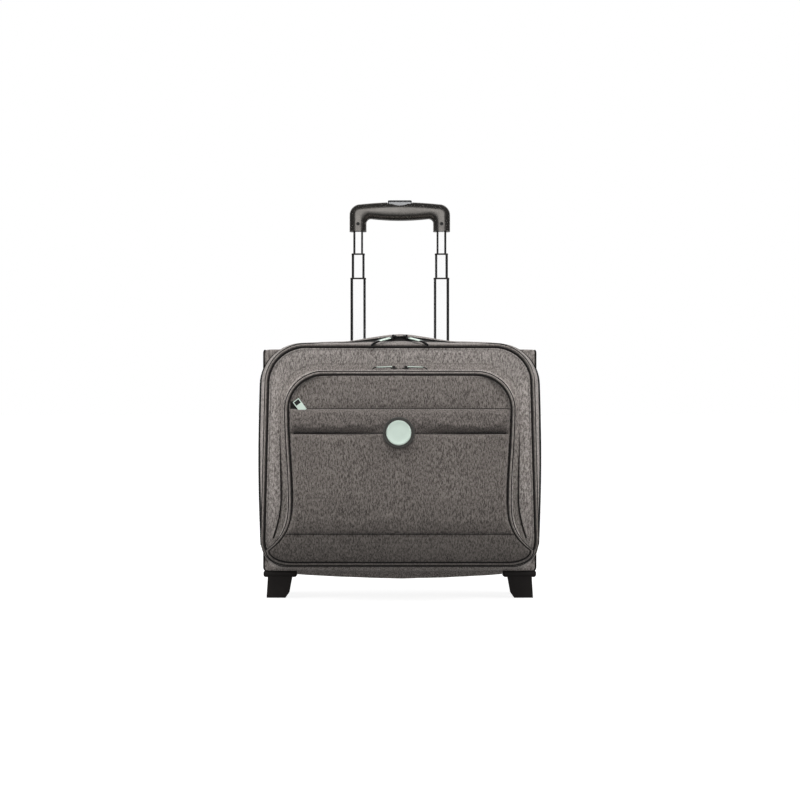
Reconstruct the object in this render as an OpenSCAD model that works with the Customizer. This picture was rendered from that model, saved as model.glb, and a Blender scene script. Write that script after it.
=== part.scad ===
// Rolling laptop case: a soft zipped case with a three-stage pull handle, two
// rear wheels and two front feet. Millimetres, X to the right, Y to the rear,
// Z up, floor at Z = 0 and the case standing upright.

/* [Case] */
// Width of the case along the main zip
case_w = 415; // [380:1:440]
// Height of the main zip line at the shoulders
case_top = 388; // [340:1:400]
// Height of the bottom of the case along the main zip
case_bottom = 53; // [50:1:60]
// Rise of the top towards its middle
hump_h = 10; // [6:0.5:14]
// Radius of the upper corners along the main zip
case_top_r = 58; // [40:1:70]
// Radius of the lower corners along the main zip
case_bottom_r = 38; // [25:1:45]
// Thickness of the soft walls
wall = 3; // [2:0.5:4]

/* [Rear section] */
// Width of the square rear section
rear_w = 416; // [390:1:430]
// Height of the bottom of the rear section above the floor
rear_bottom = 42; // [40:1:46]
// Height of the top of the rear section
rear_top = 380; // [340:1:385]
// Corner radius of the rear section
rear_r = 12; // [8:1:16]
// Depth of the rear section
rear_depth = 86; // [80:1:96]
// Sag of the bottom between the feet
belly_sag = 10; // [4:0.5:11]
// Depth of the bulging band between the rear section and the main zip
band_depth = 22; // [16:1:30]
// Extra half width of the band where it bulges
band_bulge = 3; // [1:0.5:5]

/* [Lid] */
// Width of the lid's front panel near its top
lid_top_w = 396; // [370:1:400]
// Width of the lid's front panel near its bottom
lid_bottom_w = 404; // [370:1:406]
// Height of the top of the front panel
lid_top = 381; // [335:1:386]
// Height of the bottom of the front panel
lid_bottom = 61; // [56:1:64]
// Depth of the lid's side gusset
lid_depth = 24; // [18:1:30]
// Radius of the piping round the front panel
piping_r = 2.2; // [1.5:0.1:2.5]

/* [Front pocket] */
// Height of the top of the pocket's piping
pocket_top = 341.7; // [320:0.1:345]
// Height of the bottom of the pocket
pocket_bottom = 63; // [62:0.5:66]
// Half width of the pocket front at the shoulders
pocket_shoulder = 167; // [150:1:170]
// Half width of the pocket front at its waist
pocket_waist = 161.5; // [150:0.5:165]
// Half width of the pocket front at its flared foot
pocket_foot = 191; // [180:1:192]
// Half width of the pocket where it is sewn to the lid
pocket_base = 179; // [170:1:182]
// Height of the pocket where it is sewn to the lid
pocket_base_top = 356; // [346:1:362]
// Depth of the pocket's part on the lid
pocket_rear_depth = 13; // [10:1:16]
// Depth of the pocket's part that opens
pocket_front_depth = 14; // [10:1:16]
// Height of the top edge of the slip pocket
slip_top = 289; // [270:1:295]
// Height of the crease across the slip pocket
slip_crease = 253; // [240:1:262]
// Height of the lower seam of the slip pocket
slip_bottom = 107; // [95:1:120]
// Depth of the slip pocket
slip_depth = 6; // [5:0.5:8]
// Diameter of the badge's ring
badge_d = 48; // [30:1:60]

/* [Handle] */
// Distance of each tube from the middle
tube_x = 65; // [55:1:70]
// Width of the first stage's tubes
stage_1_w = 24.7; // [23:0.1:27]
// Depth of the first stage's tubes
stage_1_d = 17; // [16:0.1:18]
// Wall of every tube
tube_wall = 1.6; // [1:0.1:1.6]
// Running gap between two tubes, each side
tube_gap = 0.35; // [0.3:0.05:0.5]
// Height of the top of the first stage
stage_1_top = 492.7; // [480:0.1:500]
// Height of the top of the second stage
stage_2_top = 530.8; // [525:0.1:540]
// Height of the lower end of the grip's stubs
stub_bottom = 565.2; // [562:0.1:568]
// Full travel of one stage
stage_travel = 200; // [150:1:200]
// Width of the grip
grip_w = 157; // [150:1:165]
// Depth of the grip
grip_d = 30; // [28:1:34]
// Height of the top of the grip at its middle
grip_top = 610.8; // [605:0.1:614]
// Travel of the push button
button_travel = 4; // [3:0.5:5]

/* [Wheels and feet] */
// Diameter of the wheels
wheel_d = 60; // [56:1:60]
// Width of the wheels
wheel_w = 22; // [18:1:24]
// Distance of each wheel from the middle
wheel_x = 186; // [180:1:187]
// Diameter of the axles
axle_d = 8; // [6:0.5:10]
// Running clearance of a wheel on its axle, radial
axle_gap = 0.05; // [0.02:0.01:0.1]
// Depth of a front foot
foot_d = 23; // [20:1:23]

/* [Zips] */
// Width of one side of a zip
tape_w = 6; // [5:0.5:7]
// Length of a zip slider
slider_l = 10; // [9:0.5:11]
// Length of a main pull
main_pull_l = 38; // [30:1:40]
// Length of a pocket pull
pocket_pull_l = 33; // [28:1:36]
// Length of the slip pocket's pull
slip_pull_l = 23; // [18:1:24]
// Width of the slip pocket's pull
slip_pull_w = 9; // [6:0.5:9]

/* [Hidden] */
$fn = 48;
corner_steps = 6;
gap = 0.3;

// Stations along the depth, from the wheels forward
wheel_y = 100 - wheel_d / 2;
y_rear = 92;
y_square = y_rear - rear_depth;
y_band = y_square - band_depth;
y_zip = y_band - tape_w;
y_lid = y_zip - tape_w;
y_seam = y_lid - lid_depth;
panel_rise = 5;
y_plateau = y_seam - panel_rise;
y_pocket_zip = y_plateau - pocket_rear_depth;
y_pocket_front = y_pocket_zip - pocket_front_depth;
pocket_cloth = 3;
y_pocket_face = y_pocket_front - pocket_cloth;
y_slip = y_pocket_face - slip_depth;
slip_cloth = 3;
slip_crown = 2;
badge_t = 100 + y_slip - slip_cloth - slip_crown;

// Top of the case: places of the hump's slope
hump_far = 95;
hump_foot = 80;
hump_peak = 12;
hump_slope = atan(hump_h / (hump_foot - hump_peak));

// Bottom of the case: half width of the part that sags between the feet
belly_half = 156;

// Outlines: half width at the top and bottom, bottom, top, upper and lower
// corner radius, hump, sag, side bulge
o_zip = [case_w / 2, case_w / 2, case_bottom, case_top, case_top_r, case_bottom_r, hump_h, 0, 0];
o_seam = [lid_top_w / 2, lid_bottom_w / 2, lid_bottom, lid_top, case_top_r - 6, case_bottom_r - 4, 0, 0, 0];
o_band = [case_w / 2 + 4, case_w / 2 + 3, rear_bottom + 4, case_top + 1.5, case_top_r + 4,
    case_bottom_r, hump_h + 1, belly_sag * 0.4, band_bulge];
o_rear = [rear_w / 2, rear_w / 2, rear_bottom, rear_top, rear_r, rear_r, 0, belly_sag, 0];
o_band_end = [rear_w / 2 - 1, rear_w / 2 - 1, rear_bottom, rear_top + 1, case_top_r - 24,
    case_bottom_r - 12, 0, belly_sag, 0];

// Pocket outlines: top, bottom, half width at shoulder, waist and foot, corner
// width and height, height of the foot
foot_rise = 80;
flare_h = 75;
flare_power = 1.6;
p_base = [pocket_base_top, pocket_bottom, pocket_base, pocket_base, pocket_foot + 2, 58, 57, foot_rise];
p_pipe = [pocket_top, pocket_bottom, pocket_shoulder, pocket_waist, pocket_foot, 54, 52, foot_rise];
p_zip = (p_base + p_pipe) / 2;

// Handle
tube_y = 75;
stage_step = 2 * (tube_wall + tube_gap);
stage_2_w = stage_1_w - stage_step;
stage_2_d = stage_1_d - stage_step;
stage_3_w = stage_2_w - stage_step - 1;
stage_3_d = stage_2_d - stage_step;
fixed_w = stage_1_w + stage_step;
fixed_d = stage_1_d + stage_step;
socket_top = 62;
collar_h = 4;
tube_overlap = 30;
stage_1_len = stage_1_top - rear_top + stage_travel / 2 + tube_overlap;
stage_2_len = stage_travel + tube_overlap + collar_h + 2;
tube_seat = 21;
stage_3_bottom = stub_bottom - stage_2_len;
bezel_h = 8;

// Grip, button and what the button pushes
stub_w = 26;
grip_under = 584;
grip_outer_r = 17;
grip_inner_r = 7;
button_w = 37.5;
button_d = 22;
button_top = grip_top + 3.8;
button_bottom = grip_top - 10.8;
bar_h = 4;
spring_rest = 3.5;
channel_bottom = button_bottom - bar_h - button_travel - spring_rest;
channel_d = 10;
rod_d = 4;
spring_d = 6;

// Wheels, housings and feet
wheel_r = wheel_d / 2;
hub_r = 22;
cheek = 3.4;
side_gap = 0.6;
housing_w = wheel_w + 2 * (cheek + side_gap);
housing_r = wheel_r + 5;
housing_top = wheel_r + housing_r - 1;
well_gap = 1;
foot_y = y_square + 2 * piping_r + 0.7;
housing_front = foot_y + foot_d + 2 * well_gap;
flange_h = 8.7;
foot_in = 164.6;
foot_out = 201.5;
screw_pitch = 10.6;
screw_head_d = 7.4;
screw_d = 4;

// Zip sliders and pulls
tape_t = 2;
slider_w = 8;
slider_h = 2;
slider_lift = 0.4;
lug_r = 1.7;
lug_t = 1.2;
lug_gap = 3.6;
bar_d = 1.6;
bar_rise = 3;
pull_t = 1.2;
pull_w = 5;
slider_x = 8.5;
main_pull_yaw = 30;
main_pull_pitch = 6;
pocket_pull_pitch = 4;
slip_pull_turn = 128;
slip_slider_x = -145;
slip_tape_h = 6;

// Colours
cloth = [0.49, 0.47, 0.45];
dark_cloth = [0.40, 0.38, 0.36];
black = [0.10, 0.09, 0.09];
mint = [0.80, 0.86, 0.82];
metal = [0.85, 0.86, 0.87];
lining = [0.30, 0.29, 0.29];

// Straight mix of two numbers
function mix(a, b, t) = a + (b - a) * t;

// Points of an elliptical arc in the plane of the case's front
function arc(x, z, rx, rz, from, to) =
    [for (i = [0:corner_steps]) let (a = mix(from, to, i / corner_steps))
        [x + rx * cos(a), z + rz * sin(a)]];

// Adds the left half to the right half of an outline
function whole(half) = concat(half, [for (i = [len(half) - 2:-1:1]) [-half[i][0], half[i][1]]]);

// Outline of the case, from the bottom centre round the right side
function outline(o) = let (
    wt = o[0], wb = o[1], z0 = o[2], z1 = o[3], rt = o[4], rb = o[5], hump = o[6], sag = o[7], bulge = o[8],
    belly = [[0, 1], [0.45, 0.9], [0.8, 0.7], [0.96, 0.5], [1, 0]])
    whole(concat(
        [for (b = belly) [belly_half * b[0], z0 - sag * b[1]]],
        arc(wb - rb, z0 + rb, rb, rb, -90, 0),
        [for (t = [0.25, 0.5, 0.75]) [mix(wb, wt, t) + bulge * sin(180 * t), mix(z0 + rb, z1 - rt, t)]],
        arc(wt - rt, z1 - rt, rt, rt, 0, 90),
        [[hump_far, z1], [hump_foot, z1], [(hump_foot + hump_peak) / 2, z1 + hump / 2],
            [hump_peak, z1 + hump], [0, z1 + hump * 1.05]]));

// Outline of the front pocket: flared foot, waist, rounded shoulders
function pocket_outline(p) = let (
    top = p[0], bottom = p[1], shoulder = p[2], waist = p[3], foot = p[4],
    rx = p[5], rz = p[6], foot_z = p[7])
    whole(concat(
        [[0, bottom], [foot * 0.6, bottom], [foot - 24, bottom + 1], [foot - 8, bottom + 6]],
        [for (t = [0:0.2:1]) [waist + (foot - waist) * pow(1 - t, flare_power), foot_z + flare_h * t]],
        [[mix(waist, shoulder, 0.5), mix(foot_z + flare_h, top - rz, 0.5)]],
        arc(shoulder - rx, top - rz, rx, rz, 0, 90),
        [[0, top]]));

// The same outline, wider by d all round
function grow(o, d) = [o[0] + d, o[1] + d, o[2] - d, o[3] + d, o[4] + d, o[5] + d, o[6], o[7], o[8]];
function grow_pocket(p, d) =
    [p[0] + d, p[1] - d, p[2] + d, p[3] + d, p[4] + d, p[5] + d, p[6] + d, p[7]];

// A ring of points at depth y
function ring(points, y) = [for (p = points) [p[0], y, p[1]]];
function case_ring(o, d, y) = ring(outline(grow(o, d)), y);
function pocket_ring(p, d, y) = ring(pocket_outline(grow_pocket(p, d)), y);

// Points of a list of rings as one list
function flat(rings) = [for (r = rings) each r];

// Skin between each ring and the next, on to the first one again where closed
function skin(rings, closed) = let (n = len(rings[0]), k = len(rings), last = closed ? k - 1 : k - 2)
    [for (i = [0:last], j = [0:n - 1]) let (
        a = i * n + j, b = i * n + (j + 1) % n, m = ((i + 1) % k) * n, c = m + (j + 1) % n, d = m + j)
        each [[a, b, c], [a, c, d]]];

// A closed band: the rings run front to rear outside, then rear to front inside
module band(rings) {
    polyhedron(points = flat(rings), faces = skin(rings, true));
}

// A closed plate: the rings run from the front face round the edge to the rear
module plate(rings) {
    n = len(rings[0]);
    k = len(rings);
    caps = [[for (j = [n - 1:-1:0]) j], [for (j = [0:n - 1]) (k - 1) * n + j]];
    polyhedron(points = flat(rings), faces = concat(skin(rings, false), caps));
}

// Sides of a piping's section
piping_turns = [0:60:300];

// Solid of an outline in the plane of the front, from depth y to y + d
module slab(points, y, d) {
    translate([0, y + d, 0]) rotate([90, 0, 0]) linear_extrude(d) polygon(points);
}

// Flat shape with round corners, centred
module round_square(w, d, r) {
    square([w - 2 * r, d], center = true);
    square([w, d - 2 * r], center = true);
    for (x = [-1, 1], y = [-1, 1]) translate([x * (w / 2 - r), y * (d / 2 - r)]) circle(r);
}

// Block between two corners
module block(low, high) {
    translate(low) cube(high - low);
}

// Space kept free round a wheel housing
module wheel_well(s) {
    half = housing_w / 2 + well_gap;
    translate([s * wheel_x, 0, 0])
        block([-half, foot_y + foot_d + well_gap, 0], [half, wheel_y + housing_r, housing_top + well_gap]);
}

// Straight piece along one of the two handle tubes
module at_tube(s, bottom, top) {
    translate([s * tube_x, tube_y, bottom]) linear_extrude(top - bottom) children();
}

// One rectangular tube with rounded corners
module tube(s, w, d, bottom, top) {
    color(metal) at_tube(s, bottom, top) difference() {
        round_square(w, d, 3);
        round_square(w - 2 * tube_wall, d - 2 * tube_wall, 1.4);
    }
}

// Dark collars on top of a stage, one on each tube
module collars(w, d, inner_w, inner_d, top) {
    color(black) for (s = [-1, 1]) at_tube(s, top - collar_h, top) difference() {
        round_square(w, d, 3);
        round_square(inner_w + 2 * gap, inner_d + 2 * gap, 2);
    }
}

// Cloth that closes the rear section's corners in front
web_t = 1.7;
module rear_section() {
    color(cloth) difference() {
        slab(outline(o_rear), y_square, rear_depth);
        slab(outline(grow(o_rear, -wall)), y_square + web_t, rear_depth);
        slab(outline(grow(o_band_end, -wall)), y_square - 1, web_t + 2);
        for (s = [-1, 1]) {
            wheel_well(s);
            at_tube(s, rear_top - 2 * wall, rear_top + wall)
                square([fixed_w + gap, fixed_d + gap], center = true);
        }
    }
}

module back_panel() {
    color(cloth) difference() {
        slab(outline(o_rear), y_rear, wall);
        for (s = [-1, 1]) wheel_well(s);
    }
}

module rear_piping() {
    color(black) band([for (a = piping_turns)
        case_ring(o_rear, piping_r * (1.05 + cos(a)), y_square + piping_r * (1.1 + sin(a)))]);
}

module rear_band() {
    y_mid = (y_band + y_square) / 2;
    color(cloth) band([
        case_ring(o_zip, 0, y_band), case_ring(o_band, 0, y_mid), case_ring(o_band_end, 0, y_square),
        case_ring(o_band_end, -wall, y_square), case_ring(o_band, -wall, y_mid),
        case_ring(o_zip, -wall, y_band)]);
}

// Stiff floor of the case
board_half = rear_w / 2 - rear_r;
board_z = rear_bottom + wall + gap;
module base_board() {
    color(lining) difference() {
        block([-board_half, y_square + 2, board_z], [board_half, y_rear - 1, board_z + wall]);
        for (s = [-1, 1]) wheel_well(s);
    }
}

// Wall in front of the handle tubes
lining_y = 58;
lining_top = rear_top - 8;
module lining_panel() {
    color(lining)
        block([-board_half, lining_y, housing_top + 4], [board_half, lining_y + wall, lining_top]);
}

// Padded wall between the laptop sleeve and the main compartment
divider_y = 14;
divider_t = 8;
divider_top = 330;
module laptop_divider() {
    bottom = board_z + wall + gap;
    color(lining) translate([0, divider_y + divider_t, (bottom + divider_top) / 2]) rotate([90, 0, 0])
        linear_extrude(divider_t) round_square(2 * board_half, divider_top - bottom, 25);
}

// Strap over the mouth of the laptop sleeve
strap_w = 38;
strap_t = 2.5;
strap_z = divider_top + 8;
module laptop_strap() {
    front = divider_y - 1;
    color(black) translate([-strap_w / 2, 0, 0]) rotate([90, 0, 90]) linear_extrude(strap_w) polygon([
        [lining_y, strap_z], [lining_y, strap_z + 26], [lining_y - strap_t, strap_z + 26],
        [lining_y - strap_t, strap_z + strap_t], [front - strap_t, strap_z + strap_t],
        [front - strap_t, strap_z - 38], [front, strap_z - 38], [front, strap_z]]);
}

// Plastic frame on the top, where the first stage comes out
module top_bezel() {
    color(black) difference() {
        translate([0, tube_y, rear_top]) linear_extrude(bezel_h) round_square(200, 30, 8);
        for (s = [-1, 1]) at_tube(s, rear_top - 1, rear_top + bezel_h + 1)
            round_square(stage_1_w + 4 * gap, stage_1_d + 4 * gap, 3);
    }
}

module fixed_tubes() {
    for (s = [-1, 1]) tube(s, fixed_w, fixed_d, socket_top, rear_top);
}

module tube_sockets() {
    color(black) for (s = [-1, 1]) at_tube(s, board_z + wall, socket_top) round_square(36, 26, 4);
}

// Round piece along a wheel's axis
module at_wheel(s, r, l) {
    translate([s * wheel_x, wheel_y, wheel_r]) rotate([0, 90, 0]) cylinder(r = r, h = l, center = true);
}

// Plastic cup that carries a wheel
module wheel_housing(s) {
    color(black) difference() {
        union() {
            intersection() {
                at_wheel(s, housing_r, housing_w);
                translate([s * wheel_x, 0, 0])
                    block([-housing_w, housing_front, wheel_r - 6], [housing_w, y_rear + wall, housing_top]);
            }
            translate([s * wheel_x, 0, 0]) block([-20, housing_front, rear_bottom - 4],
                [20, y_rear - 1, rear_bottom]);
        }
        at_wheel(s, wheel_r + 1.5, wheel_w + 2 * side_gap);
        at_wheel(s, axle_d / 2 + 0.02, housing_w + 2);
    }
}

module axles() {
    color(metal) for (s = [-1, 1]) at_wheel(s, axle_d / 2, housing_w);
}

// Hub turned from one profile, with dished faces
module hub(s) {
    bore = axle_d / 2 + axle_gap;
    half = wheel_w / 2;
    color(lining) translate([s * wheel_x, wheel_y, wheel_r]) rotate([0, 90, 0]) rotate_extrude() polygon([
        [bore, -half], [9, -half], [9, -half + 3], [11, -4], [18, -4], [20, 1 - half], [hub_r, 1 - half],
        [hub_r, half - 1], [20, half - 1], [18, 4], [11, 4], [9, half - 3], [9, half], [bore, half]]);
}

module tyre(s) {
    half = wheel_w / 2;
    color(black) translate([s * wheel_x, wheel_y, wheel_r]) rotate([0, 90, 0]) rotate_extrude() polygon([
        [hub_r, 1 - half], [wheel_r - 4, -half], [wheel_r - 1, 2 - half], [wheel_r, 5 - half],
        [wheel_r, half - 5], [wheel_r - 1, half - 2], [wheel_r - 4, half], [hub_r, half - 1]]);
}

// Places of the screws in one foot
foot_screw_x = 186;
foot_screw_y = [for (d = [-0.5, 0.5]) foot_y + foot_d / 2 + d * screw_pitch];
screw_seat = 31;

// Front foot: a flange under the case and a tapered block down to the floor
module foot(s) {
    flange = rear_bottom - flange_h;
    points = [[foot_in + 10, 0], [foot_out + 2, 0], [foot_out, flange], [206, flange], [206, rear_bottom],
        [belly_half + 1.5, rear_bottom], [belly_half + 1.5, flange], [foot_in, flange], [foot_in + 5, 7]];
    color(black) difference() {
        slab([for (p = points) [s * p[0], p[1]]], foot_y, foot_d);
        for (y = foot_screw_y) translate([s * foot_screw_x, y, -1]) {
            cylinder(d = screw_head_d + 1, h = screw_seat + 1);
            cylinder(d = screw_d + 0.2, h = rear_bottom + 2);
        }
    }
}

module foot_screws() {
    head_h = 3;
    color(metal) for (s = [-1, 1], y = foot_screw_y) translate([s * foot_screw_x, y, screw_seat - head_h]) {
        cylinder(d = screw_head_d, h = head_h);
        cylinder(d = screw_d, h = rear_bottom - screw_seat + head_h);
    }
}

// Low padded carrying handle behind the zip
handle_half = 95;
handle_gap_half = 72;
handle_rise = 10;
handle_t = 6;
module grab_handle() {
    steps = [-1:0.2:1];
    upper = [for (t = steps) [-t * handle_half, rear_top + handle_t + handle_rise * (1 - t * t)]];
    under = [for (t = steps) [t * handle_gap_half, rear_top + handle_rise * (1 - t * t)]];
    color(dark_cloth)
        slab(concat([[-handle_half, rear_top]], under, [[handle_half, rear_top]], upper), y_square + 6, 28);
}

// Half of the main zip, between two depths
module main_tape(front, rear) {
    color(black) band([case_ring(o_zip, 0, front), case_ring(o_zip, 0, rear),
        case_ring(o_zip, -tape_t, rear), case_ring(o_zip, -tape_t, front)]);
}

module zip_tape_case() {
    main_tape(y_zip + gap, y_band);
}

module zip_tape_lid() {
    main_tape(y_lid, y_zip - gap);
}

// Middle of the lid's side, a little fuller than a straight line
o_middle = [for (i = [0:8]) i == 6 ? hump_h : (o_zip[i] + o_seam[i]) / 2];
module lid_gusset() {
    y_mid = (y_seam + y_lid) / 2;
    full = 2;
    color(cloth) band([
        case_ring(o_seam, 0, y_seam), case_ring(o_middle, full, y_mid), case_ring(o_zip, 0, y_lid),
        case_ring(o_zip, -wall, y_lid), case_ring(o_middle, full - wall, y_mid),
        case_ring(o_seam, -wall, y_seam)]);
}

module lid_panel() {
    edge = 1.5;
    slope_w = 12;
    color(cloth) plate([
        case_ring(o_seam, -slope_w, y_plateau), case_ring(o_seam, -slope_w / 2, y_plateau + edge),
        case_ring(o_seam, 0, y_seam - edge), case_ring(o_seam, 0, y_seam),
        case_ring(o_seam, -slope_w, y_plateau + wall)]);
}

module lid_piping() {
    color(black) band([for (a = piping_turns)
        case_ring(o_seam, piping_r * (1.1 + cos(a)), y_seam - 1 + piping_r * sin(a))]);
}

// The pocket's cloth lies this far inside the middle of its piping
pocket_in = piping_r + 0.1;

module pocket_gusset() {
    front = y_pocket_zip + gap;
    flat_to = y_pocket_zip + tape_w;
    color(dark_cloth) band([
        pocket_ring(p_zip, -pocket_in, front), pocket_ring(p_zip, -pocket_in, flat_to),
        pocket_ring(p_base, 0, y_plateau),
        pocket_ring(p_base, -wall, y_plateau), pocket_ring(p_zip, -pocket_in - wall, flat_to),
        pocket_ring(p_zip, -pocket_in - wall, front)]);
}

module pocket_rim() {
    rear = y_pocket_zip - gap;
    flat_to = y_pocket_zip - tape_w;
    color(dark_cloth) band([
        pocket_ring(p_pipe, -pocket_in, y_pocket_front), pocket_ring(p_zip, -pocket_in, flat_to),
        pocket_ring(p_zip, -pocket_in, rear), pocket_ring(p_zip, -pocket_in - wall, rear),
        pocket_ring(p_zip, -pocket_in - wall, flat_to),
        pocket_ring(p_pipe, -pocket_in - wall, y_pocket_front)]);
}

module pocket_panel() {
    color(dark_cloth) slab(pocket_outline(grow_pocket(p_pipe, -pocket_in)), y_pocket_face, pocket_cloth);
}

module pocket_piping() {
    color(black) band([for (a = piping_turns)
        pocket_ring(p_pipe, piping_r * cos(a), (y_pocket_face + y_pocket_front) / 2 + piping_r * sin(a))]);
}

// Slip pocket on the pocket's front
slip_half = pocket_waist - 4.5;
module slip_gusset() {
    t = 2;
    inner = slip_half - t;
    color(dark_cloth) slab([
        [-slip_half, slip_bottom], [slip_half, slip_bottom], [slip_half, slip_top], [inner, slip_top],
        [inner, slip_bottom + t], [-inner, slip_bottom + t], [-inner, slip_top], [-slip_half, slip_top]],
        y_slip, slip_depth);
}

// Crowned rectangle of cloth in front of the slip pocket
function slip_ring(z0, z1, inset, y) = let (x = slip_half - inset, low = z0 + inset, high = z1 - inset)
    [[x, y, low], [x, y, high], [-x, y, high], [-x, y, low]];
module slip_cover(z0, z1, slope_w) {
    y_edge = y_slip - slip_cloth;
    color(dark_cloth) plate([
        slip_ring(z0, z1, slope_w, y_edge - slip_crown),
        slip_ring(z0, z1, slope_w / 3, y_edge - slip_crown / 2),
        slip_ring(z0, z1, 0, y_edge + 1), slip_ring(z0, z1, 0, y_slip)]);
}

module slip_panel() {
    slip_cover(slip_bottom, slip_crease - gap, 30);
}

module slip_band() {
    slip_cover(slip_crease + gap, slip_top, 12);
}

slip_zip_z = slip_top + 1;
module slip_zip() {
    color(black) block([-slip_half, y_pocket_face - tape_t, slip_zip_z],
        [slip_half, y_pocket_face, slip_zip_z + slip_tape_h]);
}

// Badge over the crease
badge_y = y_slip - slip_cloth - slip_crown;
badge_disc_d = badge_d * 0.77;
module at_badge() {
    translate([0, badge_y, slip_crease + 1]) rotate([90, 0, 0]) children();
}

module badge_ring() {
    color(lining) at_badge() difference() {
        cylinder(d = badge_d, h = badge_t);
        translate([0, 0, -1]) cylinder(d = badge_disc_d + 0.1, h = badge_t + 2);
    }
}

module badge_disc() {
    color(mint) at_badge() cylinder(d = badge_disc_d, h = badge_t * 0.8);
}

module stage_1_tube(s) {
    tube(s, stage_1_w, stage_1_d, stage_1_top - stage_1_len, stage_1_top - collar_h);
}

module stage_1_collars() {
    collars(stage_1_w, stage_1_d, stage_2_w, stage_2_d, stage_1_top);
}

module stage_2_tube(s) {
    tube(s, stage_2_w, stage_2_d, stage_2_top - stage_2_len, stage_2_top - collar_h);
}

module stage_2_collars() {
    collars(stage_2_w, stage_2_d, stage_3_w, stage_3_d, stage_2_top);
}

module stage_3_tube(s) {
    tube(s, stage_3_w, stage_3_d, stage_3_bottom, stub_bottom + tube_seat);
}

// Front view of the grip: crowned bar with a stub over each tube
grip_points = let (
    half = grip_w / 2, stub_in = tube_x - stub_w / 2, shoulder = grip_top - 3.3,
    inner_x = stub_in - grip_inner_r, outer_x = half - grip_outer_r)
    whole(concat(
        [[0, grip_under - 1.6], [stub_in / 2, grip_under - 0.6]],
        arc(inner_x, grip_under + 1 - grip_inner_r, grip_inner_r, grip_inner_r, 90, 0),
        [[stub_in, stub_bottom], [half, stub_bottom]],
        arc(outer_x, shoulder - grip_outer_r, grip_outer_r, grip_outer_r, 0, 90),
        [[outer_x / 2, grip_top - 0.9], [0, grip_top]]));

grip_screw_z = stub_bottom + 10.8;
grip_front = tube_y - grip_d / 2;
grip_screw_d = 3;
grip_screw_head_d = 6;
grip_screw_head_h = 2.5;

module grip() {
    channel_half = tube_x + 6;
    room = 0.4;
    color(black) difference() {
        slab(grip_points, grip_front, grip_d);
        translate([0, tube_y, 0]) {
            block([-button_w / 2 - room, -button_d / 2 - room, channel_bottom],
                [button_w / 2 + room, button_d / 2 + room, grip_top + 1]);
            block([-channel_half, -channel_d / 2, channel_bottom],
                [channel_half, channel_d / 2, button_bottom + room]);
        }
        for (s = [-1, 1]) {
            at_tube(s, stub_bottom - 1, stub_bottom + tube_seat)
                round_square(stage_3_w + 0.1, stage_3_d + 0.1, 3);
            at_tube(s, stub_bottom, channel_bottom + 1) circle(d = rod_d + 1.5);
            translate([s * tube_x, grip_front - 1, grip_screw_z]) rotate([-90, 0, 0]) {
                cylinder(d = grip_screw_head_d + room, h = 1 + grip_screw_head_h + 1);
                cylinder(d = grip_screw_d + room, h = grip_d / 2);
            }
        }
    }
}

module grip_screws() {
    sunk = 1;
    tube_face = tube_y - stage_3_d / 2 - 0.2;
    color(black) for (s = [-1, 1])
        translate([s * tube_x, grip_front + sunk, grip_screw_z]) rotate([-90, 0, 0]) {
            cylinder(d = grip_screw_head_d, h = grip_screw_head_h);
            cylinder(d = grip_screw_d, h = tube_face - grip_front - sunk);
        }
}

module push_button() {
    half = button_w / 2;
    color(metal) slab([
        [-half, button_bottom], [half, button_bottom], [half, button_top - 2], [half - 3, button_top - 0.7],
        [half / 2, button_top - 0.2], [0, button_top], [-half / 2, button_top - 0.2],
        [3 - half, button_top - 0.7], [-half, button_top - 2]], tube_y - button_d / 2, button_d);
}

// Cross bar under the button with a rod down each tube
rod_bottom = stage_3_bottom + 16;
module push_rods() {
    bar_half = tube_x + 4;
    bar_d = 7;
    color(metal) {
        translate([0, tube_y, 0])
            block([-bar_half, -bar_d / 2, button_bottom - bar_h], [bar_half, bar_d / 2, button_bottom]);
        for (s = [-1, 1]) at_tube(s, rod_bottom, button_bottom - bar_h / 2) circle(d = rod_d);
    }
}

module button_spring() {
    color(metal) translate([0, tube_y, channel_bottom]) linear_extrude(button_bottom - bar_h - channel_bottom)
        difference() {
            circle(d = spring_d);
            circle(d = spring_d - 2);
        }
}

// Zip slider on a track along X, facing up, with two lugs for its pull
module slider(turn) {
    top = slider_lift + slider_h;
    pin_z = top + bar_rise;
    color(black) {
        translate([0, 0, slider_lift]) linear_extrude(slider_h) round_square(slider_l, slider_w, 2);
        for (s = [-1, 1]) rotate([0, 0, turn]) translate([0, s * (lug_gap + lug_t) / 2 + lug_t / 2, 0])
            rotate([90, 0, 0]) linear_extrude(lug_t) difference() {
                union() {
                    translate([-lug_r, top - 0.5]) square([2 * lug_r, bar_rise + 0.5]);
                    translate([0, pin_z]) circle(lug_r);
                }
                translate([0, pin_z]) circle(d = bar_d + 0.2);
            }
    }
}

// Pull hinged in the slider's lugs: cross bar, neck and slotted plate
module pull(turn, pitch, length, width) {
    neck = 3;
    slot_w = width * 0.4;
    pin_z = slider_lift + slider_h + bar_rise;
    color(mint) rotate([0, 0, turn]) translate([0, 0, pin_z]) rotate([0, pitch, 0]) {
        rotate([90, 0, 0]) cylinder(d = bar_d, h = lug_gap + 2 * lug_t, center = true);
        translate([0, 0, -pull_t / 2]) linear_extrude(pull_t) difference() {
            union() {
                translate([0, 0.4 - lug_gap / 2]) square([neck + 1, lug_gap - 0.8]);
                translate([neck, -width / 2]) square([length - neck - width / 2, width]);
                translate([length - width / 2, 0]) circle(d = width);
            }
            translate([length * 0.3, -slot_w / 2]) square([length * 0.25, slot_w]);
        }
    }
}

// Places of the sliders; the left ones mirror the right ones
module at_main_zip(s) {
    x = slider_x;
    z = case_top + hump_h * (hump_foot - x) / (hump_foot - hump_peak);
    mirror([s < 0 ? 1 : 0, 0, 0]) translate([x, y_zip, z]) rotate([0, hump_slope, 0]) children();
}

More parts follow.
